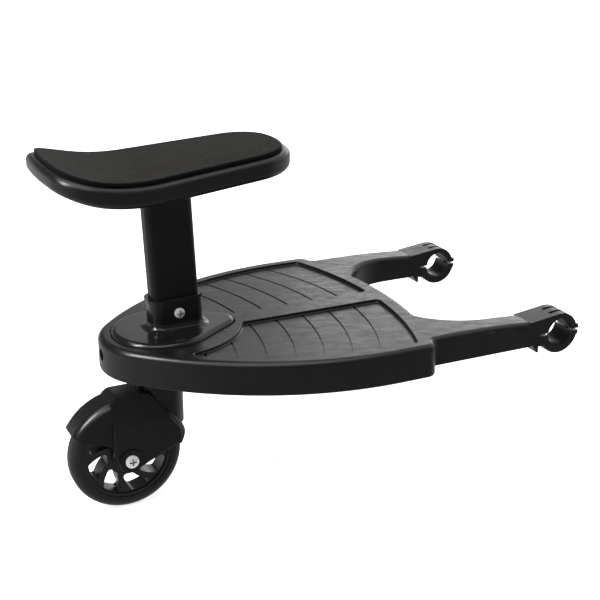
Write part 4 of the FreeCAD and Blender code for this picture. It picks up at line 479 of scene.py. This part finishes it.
def moulded(name, base, rough, specular, grain, ripple, wear_and_edge_highlight, dust, scuff=0.0, sheen_cloud=0.0):
    """A moulded or coated finish.

    Grain and ripple tilt the normal. Worn edges with a painted edge highlight, dust, scuffs, painted sheen
    clouds and painted shade in hollows change the colour, each by its own strength. The roughness follows
    the grain and rises with dust, scuffs and the sheen clouds.
    """
    material, tree, shader = new_material(name)
    shader.inputs["Specular IOR Level"].default_value = specular
    surface = grained(tree, grain, ripple)
    edges = placed(tree, worn_and_highlit_edges)
    fine_dust = placed(tree, settled_dust)
    hollow_shade = placed(tree, painted_hollow_shade)
    pale = scaled(base, RUBBED_AND_SHEEN_SHARE, RUBBED_AND_SHEEN_LIFT)
    tone = mix_colours(tree, (surface, "Tone"), scaled(base, DEEP_SHARE), scaled(base, LIGHT_SHARE))
    # Worn edges lightened, partly wear and partly a painted edge highlight
    look = mix_colours(tree, math_node(tree, "MULTIPLY", (edges, "Mask"), wear_and_edge_highlight), tone, pale)
    dust_colour = tuple(bpy.context.scene.ride_board.colours.dust)
    look = mix_colours(tree, math_node(tree, "MULTIPLY", (fine_dust, "Mask"), dust), look, dust_colour)
    gloss = straight_line(tree, (surface, "Tone"), GRAIN_GLOSS, rough - 0.5 * GRAIN_GLOSS)
    dulled = math_node(tree, "MULTIPLY", (fine_dust, "Mask"), DUST_GLOSS * dust)
    gloss = math_node(tree, "ADD", gloss, dulled)
    # Scuffs are wear; the cloudy patches are painted sheen, paler on faces that look up
    marks_and_sheen = ((shoe_scuffs, scuff, SCUFF_GLOSS * scuff), (painted_sheen_clouds, sheen_cloud, SHEEN_CLOUD_GLOSS))
    for effect, strength, roughening in marks_and_sheen:
        if strength:
            marks = placed(tree, effect)
            look = mix_colours(tree, math_node(tree, "MULTIPLY", (marks, "Mask"), strength), look, pale)
            dulled = math_node(tree, "MULTIPLY", (marks, "Mask"), roughening)
            gloss = math_node(tree, "ADD", gloss, dulled)
    # Painted shade: hollows and inner corners darkened to a share of the base colour
    look = mix_colours(tree, (hollow_shade, "Open"), scaled(base, HOLLOW_SHADE_SHARE), look)
    join(tree, look, (shader, "Base Color"))
    join(tree, gloss, (shader, "Roughness"))
    bump_surface(tree, shader, (surface, "Height"))
    return material


def foam_finish(base):
    """Closed-cell foam: small cells, pale flecks, slow warm patches, a matt skin and painted shade on its
    sides.
    """
    material, tree, shader = new_material("foam")
    shader.inputs["Specular IOR Level"].default_value = 0.08
    shader.inputs["Sheen Weight"].default_value = 0.02
    shader.inputs["Sheen Roughness"].default_value = 0.5
    place = node(tree, "TexCoord")
    cells = node(tree, "TexVoronoi", {"feature": "SMOOTH_F1"}, {"Scale": FOAM_CELLS, "Smoothness": 0.6})
    join(tree, (place, "Object"), (cells, "Vector"))
    patch = noise(tree, (place, "Object"), FOAM_PATCHES, detail=4.0, rough=0.62)
    fibre = noise(tree, (place, "Object"), FOAM_FIBRES, detail=3.0, rough=0.75)
    warmth = between(tree, patch, low=0.30, high=0.72)
    flecks = between(tree, fibre, low=0.50, high=0.74)
    mottled = mix_colours(tree, warmth, *(scaled(base, share) for share in PATCH_SHARES))
    flecked = mix_colours(tree, flecks, mottled, scaled(base, FLECK_SHARE))
    # Painted shade: the sides of the foam darkened to a share of its colour, the top kept
    upper = facing_up(tree, place, low=0.30, high=0.85)
    join(tree, mix_colours(tree, upper, scaled(base, SIDE_SHADE_SHARE), flecked), (shader, "Base Color"))
    join(tree, straight_line(tree, fibre, slope=0.18, start=0.76), (shader, "Roughness"))
    pits = math_node(tree, "MULTIPLY", (cells, "Distance"), 0.16 * MM)
    swell = math_node(tree, "MULTIPLY", patch, 0.35 * MM)
    nap = math_node(tree, "MULTIPLY", fibre, 0.3 * MM)
    bump_surface(tree, shader, math_node(tree, "ADD", pits, math_node(tree, "ADD", swell, nap)))
    return material


def plated(name, base, rough, brush, metal):
    """Plated or ground metal: brushed streaks in colour and roughness, a painted highlight on worn edges
    and painted shade in recesses.
    """
    material, tree, shader = new_material(name)
    shader.inputs["Metallic"].default_value = metal
    surface = grained(tree, grain=(brush, 0.0012 * MM), ripple=(4 * MM, 0.01 * MM))
    edges = placed(tree, worn_and_highlit_edges, {"Width": 0.4 * MM, "Breakup": 2 * MM})
    hollow_shade = placed(tree, painted_hollow_shade, {"Reach": 4 * MM})
    tone = mix_colours(tree, (surface, "Tone"), *(scaled(base, share) for share in STREAK_SHARES))
    # Painted highlight: worn edges brightened above the base colour
    bright = mix_colours(tree, (edges, "Mask"), tone, scaled(base, BRIGHT_EDGE_SHARE))
    # Painted shade: recesses darkened nearly to black
    look = mix_colours(tree, (hollow_shade, "Open"), scaled(base, RECESS_SHADE_SHARE), bright)
    join(tree, look, (shader, "Base Color"))
    gloss = straight_line(tree, (surface, "Tone"), BRUSHED_GLOSS, rough - 0.5 * BRUSHED_GLOSS)
    join(tree, gloss, (shader, "Roughness"))
    bump_surface(tree, shader, (surface, "Height"))
    return material


def paint(material, *names):
    """Gives CAD nodes a finish."""
    for name in names:
        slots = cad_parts[name].data.materials
        slots.clear()
        slots.append(material)


# Surface of the foam pad


def pad_plan(shape):
    """Pieces of half the pad's plan, from nose to back, each with start and end centre, radius and angle.

    The plan is a chain of tangent pieces: a nose arc on the middle line, a corner arc inside it,
    a straight side, a back corner arc, and a back arc on the middle line. The angle is the normal's. A
    straight side is an arc whose centre slides along while its normal stays still.
    """
    taper = shape.side_taper
    normal = np.array([math.sin(taper), math.cos(taper)])
    nose_middle = np.array([shape.nose_tip - shape.nose_bow, 0.0])
    back_middle = np.array([shape.back_tip + shape.back_bow, 0.0])
    back_rise = shape.half_width - shape.back_corner * normal[1]
    back_run = math.sqrt((shape.back_bow - shape.back_corner) ** 2 - back_rise ** 2)
    back_corner = np.array([back_middle[0] - back_run, back_rise])
    reach = back_corner @ normal + shape.back_corner - shape.nose_corner - nose_middle @ normal
    nose_turn = math.asin(reach / (shape.nose_bow - shape.nose_corner)) - taper
    nose_corner = nose_middle + (shape.nose_bow - shape.nose_corner) * np.array(
        [math.cos(nose_turn), math.sin(nose_turn)])
    side_turn = math.pi / 2 - taper
    back_turn = math.atan2(back_rise, -back_run)
    return (
        np.array([nose_middle, nose_corner, nose_corner, back_corner, back_middle]),
        np.array([nose_middle, nose_corner, back_corner, back_corner, back_middle]),
        np.array([shape.nose_bow, shape.nose_corner, shape.nose_corner, shape.back_corner, shape.back_bow]),
        np.array([shape.nose_bow, shape.nose_corner, shape.back_corner, shape.back_corner, shape.back_bow]),
        np.array([0.0, nose_turn, side_turn, side_turn, back_turn]),
        np.array([nose_turn, side_turn, side_turn, back_turn, math.pi]),
    )


def pad_edge(shape, steps, inset):
    """Points round the whole plan, moved in by each inset: centre plus radius less inset, along the normal.

    One half is worked out from nose to back, and its mirror image follows from back to nose.
    """
    centre, centre_end, radius, radius_end, turn, turn_end = pad_plan(shape)
    lengths = np.maximum(radius * (turn_end - turn), np.hypot(*(centre_end - centre).T))
    marks = np.concatenate([[0.0], np.cumsum(lengths)])
    run = np.linspace(0.0, marks[-1], steps + 1)
    piece = np.clip(np.searchsorted(marks, run, side="right") - 1, 0, len(lengths) - 1)
    part = ((run - marks[piece]) / lengths[piece])[None, :]
    middle = centre[piece].T[:, None, :] + part * (centre_end - centre)[piece].T[:, None, :]
    size = radius[piece] + part * (radius_end - radius)[piece] - np.asarray(inset)[:, None]
    angle = turn[piece] + part * (turn_end - turn)[piece]
    x = middle[0] + size * np.cos(angle)
    y = middle[1] + size * np.sin(angle)
    return (np.concatenate([x, x[:, -2:0:-1]], axis=1), np.concatenate([y, -y[:, -2:0:-1]], axis=1))


def saddle_line(shape, x, lift):
    """Height of the saddle: a straight rise to the nose, and an arc tangent to it behind the dip.

    The lift is measured upwards on the straight and towards the arc's centre behind it.
    """
    slope = shape.nose_rise / shape.nose_run
    run = x - shape.dip_place
    straight = shape.dip_height + slope * run + lift
    tilt = math.atan(slope)
    centre_x = -shape.kick * math.sin(tilt)
    centre_z = shape.dip_height + shape.kick * math.cos(tilt)
    radius = shape.kick - lift
    swept = centre_z - np.sqrt(np.maximum(radius ** 2 - (run - centre_x) ** 2, 0.0))
    return np.where(run > centre_x + radius * math.sin(tilt), straight, swept)


def pad_surface(shape, steps=220):
    """Rings of the closed pad from the middle of its base, out, up its edge and back over the top.

    Near the edge a ring is the plan moved in by an inset. Further in it is that ring drawn towards the
    middle of the pad. Its height is the saddle line plus a share of the thickness, and the top swells by
    the crown times one less the square of the ring's share.
    """
    inner = 7.0 * MM
    foot = 0.35 * MM
    pinch = 0.12 * MM
    roll = shape.edge_roll
    full = shape.thickness
    curve = np.linspace(0.0, math.pi / 2, ROLL_RINGS)
    base_draw = np.linspace(0.0, 1.0, BASE_RINGS)
    top_draw = np.linspace(1.0, 0.0, TOP_RINGS)
    wall_inset = np.array([foot, 0.0, pinch])
    wall_rise = np.array([0.0, foot, 0.5 * full])
    roll_inset = roll * (1 - np.cos(curve))
    roll_rise = full - roll + roll * np.sin(curve)
    shoulder_inset = np.linspace(inner, roll, SHOULDER_RINGS + 1)[1:][::-1]
    edge_rings = len(wall_inset) + ROLL_RINGS + SHOULDER_RINGS
    inset = np.concatenate([
        np.full(BASE_RINGS, inner), wall_inset, roll_inset, shoulder_inset, np.full(TOP_RINGS, inner)])
    draw = np.concatenate([base_draw, np.ones(edge_rings), top_draw])
    rise = np.concatenate([
        np.zeros(BASE_RINGS), wall_rise, roll_rise, np.full(SHOULDER_RINGS + TOP_RINGS, full)])
    swell = np.concatenate([np.zeros(BASE_RINGS + edge_rings), shape.crown * (1 - top_draw ** 2)])
    edge_x, edge_y = pad_edge(shape, steps, inset)
    middle_x = 0.5 * (shape.nose_tip + shape.back_tip)
    x = middle_x + draw[:, None] * (edge_x - middle_x)
    y = draw[:, None] * edge_y
    low = saddle_line(shape, x, 0.0)
    high = saddle_line(shape, x, full)
    z = low + (high - low) * (rise / full)[:, None] + swell[:, None]
    return np.stack([x, y, z], axis=2)


def ring_mesh(name, points):
    """Closed mesh from rings of points, with four-sided faces between rings.

    The first and the last ring are each drawn to one point.
    """
    rings, steps = points.shape[:2]
    row = np.arange(rings - 1)[:, None] * steps
    column = np.arange(steps)[None, :]
    following = (column + 1) % steps
    faces = np.stack([row + column, row + following, row + steps + following, row + steps + column], axis=2)
    mesh = bpy.data.meshes.new(name)
    mesh.from_pydata(points.reshape(-1, 3).tolist(), [], faces.reshape(-1, 4).tolist())
    work = bmesh.new()
    work.from_mesh(mesh)
    bmesh.ops.remove_doubles(work, verts=work.verts, dist=1e-6)
    bmesh.ops.recalc_face_normals(work, faces=work.faces)
    work.to_mesh(mesh)
    work.free()
    mesh.polygons.foreach_set("use_smooth", np.ones(len(mesh.polygons), dtype=bool))
    mesh.update()
    made = bpy.data.objects.new(name, mesh)
    bpy.context.scene.collection.objects.link(made)
    return made


# Operators


class RIDEBOARD_OT_board(bpy.types.Operator):
    """Gives the deck and the clamp jaws their satin moulded finish"""

    bl_idname = "rideboard.board"
    bl_label = "Board and clamp jaws"

    def execute(self, context):
        base = tuple(context.scene.ride_board.colours.board)
        board = moulded(
            "board_plastic", base, rough=0.26, specular=0.40, grain=(0.7 * MM, 0.010 * MM),
            ripple=(30 * MM, 0.20 * MM), wear_and_edge_highlight=0.35, dust=0.08, scuff=0.06, sheen_cloud=0.06)
        jaws = moulded(
            "jaw_plastic", base, rough=0.30, specular=0.40, grain=(0.7 * MM, 0.008 * MM),
            ripple=(20 * MM, 0.12 * MM), wear_and_edge_highlight=0.45, dust=0.08, sheen_cloud=0.05)
        paint(board, "deck")
        paint(jaws, "clamp_jaw_left", "clamp_jaw_right")
        return {"FINISHED"}


class RIDEBOARD_OT_seat_shell(bpy.types.Operator):
    """Gives the seat pan its soft gloss finish"""

    bl_idname = "rideboard.seat_shell"
    bl_label = "Seat shell"

    def execute(self, context):
        base = tuple(context.scene.ride_board.colours.shell)
        shell = moulded(
            "seat_shell", base, rough=0.30, specular=0.45, grain=(0.6 * MM, 0.005 * MM),
            ripple=(45 * MM, 0.18 * MM), wear_and_edge_highlight=0.25, dust=0.06)
        paint(shell, "seat_pan")
        return {"FINISHED"}


class RIDEBOARD_OT_foam_pad(bpy.types.Operator):
    """Makes the crowned foam pad that stands for the pad's solid"""

    bl_idname = "rideboard.foam_pad"
    bl_label = "Foam pad"

    def execute(self, context):
        settings = context.scene.ride_board
        foam = ring_mesh("foam_pad", pad_surface(settings.pad))
        foam.data.materials.append(foam_finish(tuple(settings.colours.foam)))
        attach(foam, "board")
        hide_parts("seat_pad")
        return {"FINISHED"}


class RIDEBOARD_OT_post(bpy.types.Operator):
    """Gives the post its powder coat and the socket its gloss"""

    bl_idname = "rideboard.post"
    bl_label = "Post and socket"

    def execute(self, context):
        colours = context.scene.ride_board.colours
        post = moulded(
            "post_metal", tuple(colours.post), rough=0.40, specular=0.26, grain=(1.1 * MM, 0.014 * MM),
            ripple=(40 * MM, 0.08 * MM), wear_and_edge_highlight=0.30, dust=0.04)
        socket = moulded(
            "socket_plastic", tuple(colours.socket), rough=0.20, specular=0.50,
            grain=(0.6 * MM, 0.003 * MM), ripple=(30 * MM, 0.10 * MM), wear_and_edge_highlight=0.20, dust=0.05)
        paint(post, "seat_post")
        paint(socket, "seat_socket")
        return {"FINISHED"}


class RIDEBOARD_OT_caster(bpy.types.Operator):
    """Gives the fork, rim and tyre their finishes"""

    bl_idname = "rideboard.caster"
    bl_label = "Caster"

    def execute(self, context):
        colours = context.scene.ride_board.colours
        fork = moulded(
            "fork_plastic", tuple(colours.fork), rough=0.26, specular=0.45, grain=(0.6 * MM, 0.006 * MM),
            ripple=(35 * MM, 0.15 * MM), wear_and_edge_highlight=0.30, dust=0.08)
        rim = moulded(
            "rim_plastic", tuple(colours.rim), rough=0.24, specular=0.70, grain=(0.6 * MM, 0.006 * MM),
            ripple=(20 * MM, 0.08 * MM), wear_and_edge_highlight=0.45, dust=0.05)
        tyre = moulded(
            "tyre_rubber", tuple(colours.tyre), rough=0.44, specular=0.40, grain=(0.9 * MM, 0.020 * MM),
            ripple=(12 * MM, 0.06 * MM), wear_and_edge_highlight=0.35, dust=0.20)
        paint(fork, "caster_fork")
        paint(rim, "wheel_rim")
        paint(tyre, "tyre")
        return {"FINISHED"}


class RIDEBOARD_OT_fasteners(bpy.types.Operator):
    """Gives screws, nuts, pins, bearings and the bush their finishes"""

    bl_idname = "rideboard.fasteners"
    bl_label = "Fasteners, bearings and bush"

    def execute(self, context):
        colours = context.scene.ride_board.colours
        chrome = plated("screw_chrome", tuple(colours.chrome), rough=0.24, brush=0.5 * MM, metal=0.48)
        steel = plated("bearing_steel", tuple(colours.steel), rough=0.30, brush=0.3 * MM, metal=0.80)
        nylon = moulded(
            "bush_nylon", tuple(colours.nylon), rough=0.48, specular=0.5, grain=(0.6 * MM, 0.008 * MM),
            ripple=(20 * MM, 0.05 * MM), wear_and_edge_highlight=0.1, dust=0.1)
        paint(
            chrome, "clamp_screws", "clamp_nuts", "post_bolt", "post_nut", "axle_bolt", "axle_nut",
            "socket_screws", "seat_screws", "kingpin_nut")
        paint(steel, "wheel_bearings", "bearing_sleeve", "kingpin", "kingpin_washer", "axle_spacers")
        paint(nylon, "swivel_bush")
        return {"FINISHED"}


# Studio


def soft_box(name, place, size, power):
    """A rectangular light that faces the board."""
    lamp = bpy.data.lights.new(name, "AREA")
    lamp.shape = "RECTANGLE"
    lamp.size, lamp.size_y = size
    lamp.energy = power
    made = bpy.data.objects.new(name, lamp)
    made.location = place
    made.rotation_mode = "QUATERNION"
    made.rotation_quaternion = (Vector(LIGHT_AIM) - Vector(place)).to_track_quat("-Z", "Y")
    bpy.context.scene.collection.objects.link(made)


def surround(studio):
    """A world that grows brighter from front to back, dim on the left, and plain white as a backdrop."""
    world = bpy.data.worlds.new("studio")
    world.use_nodes = True
    tree = world.node_tree
    place = node(tree, "TexCoord")
    split = node(tree, "SeparateXYZ")
    join(tree, (place, "Generated"), (split, 0))
    above = between(tree, (split, "Z"), *LOW_TO_HIGH)
    behind = between(tree, (split, "Y"), *FRONT_TO_BACK)
    right = between(tree, (split, "X"), *LEFT_TO_RIGHT)
    before = math_node(tree, "SUBTRACT", 1.0, behind)
    high = mix_colours(tree, behind, (studio.front_sky,) * 3, (studio.back_sky,) * 3)
    high = mix_colours(tree, math_node(tree, "MAXIMUM", right, before), (studio.left_sky,) * 3, high)
    low = mix_colours(tree, behind, (studio.front_low,) * 3, (studio.back_low,) * 3)
    light = mix_colours(tree, above, low, high)
    seen = node(tree, "LightPath")
    backdrop = mix_colours(tree, (seen, "Is Camera Ray"), light, (1.0, 1.0, 1.0))
    join(tree, backdrop, (tree.nodes["Background"], "Color"))
    return world


def pale_floor(studio):
    """A wide plate under the board that glows a little, clear when it is seen from below."""
    corners = [(FLOOR_HALF * x, FLOOR_HALF * y, CAD_LOW.z) for x, y in ((-1, -1), (1, -1), (1, 1), (-1, 1))]
    mesh = bpy.data.meshes.new("floor")
    mesh.from_pydata(corners, [], [(0, 1, 2, 3)])
    floor = bpy.data.objects.new("floor", mesh)
    bpy.context.scene.collection.objects.link(floor)
    material, tree, shader = new_material("floor")
    place = node(tree, "TexCoord")
    clouds = noise(tree, (place, "Object"), FLOOR_PATCHES)
    shade = mix_colours(tree, clouds, scaled(studio.floor, FLOOR_SHADE), tuple(studio.floor))
    join(tree, shade, (shader, "Base Color"))
    shader.inputs["Roughness"].default_value = 0.85
    shader.inputs["Specular IOR Level"].default_value = 0.1
    shader.inputs["Emission Color"].default_value = (1.0, 1.0, 1.0, 1.0)
    shader.inputs["Emission Strength"].default_value = studio.floor_glow
    side = node(tree, "NewGeometry")
    join(tree, math_node(tree, "SUBTRACT", 1.0, (side, "Backfacing")), (shader, "Alpha"))
    floor.data.materials.append(material)
    floor.visible_glossy = False
    return floor


def overhead_sun(studio):
    """A wide soft sun from above."""
    sun = bpy.data.lights.new("overhead", "SUN")
    sun.energy = studio.overhead
    sun.angle = SUN_SPREAD
    lamp = bpy.data.objects.new("overhead", sun)
    lamp.rotation_mode = "QUATERNION"
    lamp.rotation_quaternion = Vector(SUN_DIRECTION).to_track_quat("-Z", "Y")
    bpy.context.scene.collection.objects.link(lamp)


def photograph_camera():
    """A camera at the photograph's place and viewing angle."""
    lens = bpy.data.cameras.new("camera")
    lens.lens = LENS_LENGTH
    lens.sensor_width = SENSOR_WIDTH
    lens.clip_start, lens.clip_end = CAMERA_REACH
    camera = bpy.data.objects.new("camera", lens)
    camera.location = CAMERA_PLACE
    camera.rotation_mode = "QUATERNION"
    camera.rotation_quaternion = Vector(CAMERA_DIRECTION).to_track_quat("-Z", "Y")
    bpy.context.scene.collection.objects.link(camera)
    return camera


class RIDEBOARD_OT_stage(bpy.types.Operator):
    """Makes the pale floor, the soft light and the camera"""

    bl_idname = "rideboard.stage"
    bl_label = "Stage"

    def execute(self, context):
        scene = context.scene
        studio = scene.ride_board.studio
        floor = pale_floor(studio)
        scene.world = surround(studio)
        overhead_sun(studio)
        soft_box("left_box", LEFT_BOX_PLACE, LEFT_BOX_SIZE, studio.left_box)
        soft_box("back_box", BACK_BOX_PLACE, BACK_BOX_SIZE, studio.back_box)
        scene.camera = photograph_camera()
        scene.view_settings.view_transform = "Standard"
        return {"FINISHED"}


class RIDEBOARD_PT_sidebar(bpy.types.Panel):
    """Sizes, colours and steps of the ride-on board"""

    bl_label = "Ride-on board"
    bl_idname = "RIDEBOARD_PT_sidebar"
    bl_space_type = "VIEW_3D"
    bl_region_type = "UI"
    bl_category = "Ride-on board"

    def draw(self, context):
        settings = context.scene.ride_board
        groups = (("Pad", settings.pad), ("Colours", settings.colours), ("Studio", settings.studio))
        for title, group in groups:
            box = self.layout.box()
            box.label(text=title)
            for name in group.__annotations__:
                box.prop(group, name)
        for step in STEPS:
            self.layout.operator(step.bl_idname)


STEPS = (
    RIDEBOARD_OT_board, RIDEBOARD_OT_seat_shell, RIDEBOARD_OT_foam_pad, RIDEBOARD_OT_post,
    RIDEBOARD_OT_caster, RIDEBOARD_OT_fasteners, RIDEBOARD_OT_stage)
CLASSES = (PadShape, FinishColours, StudioLight, RideBoardSettings, *STEPS, RIDEBOARD_PT_sidebar)


def register():
    """Registers the classes and the settings."""
    for item in CLASSES:
        bpy.utils.register_class(item)
    bpy.types.Scene.ride_board = PointerProperty(type=RideBoardSettings)


def unregister():
    """Removes the settings and the classes."""
    del bpy.types.Scene.ride_board
    for item in reversed(CLASSES):
        bpy.utils.unregister_class(item)


def main():
    """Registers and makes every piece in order."""
    register()
    bpy.ops.rideboard.board()
    bpy.ops.rideboard.seat_shell()
    bpy.ops.rideboard.foam_pad()
    bpy.ops.rideboard.post()
    bpy.ops.rideboard.caster()
    bpy.ops.rideboard.fasteners()
    bpy.ops.rideboard.stage()


if __name__ == "__main__":
    main()
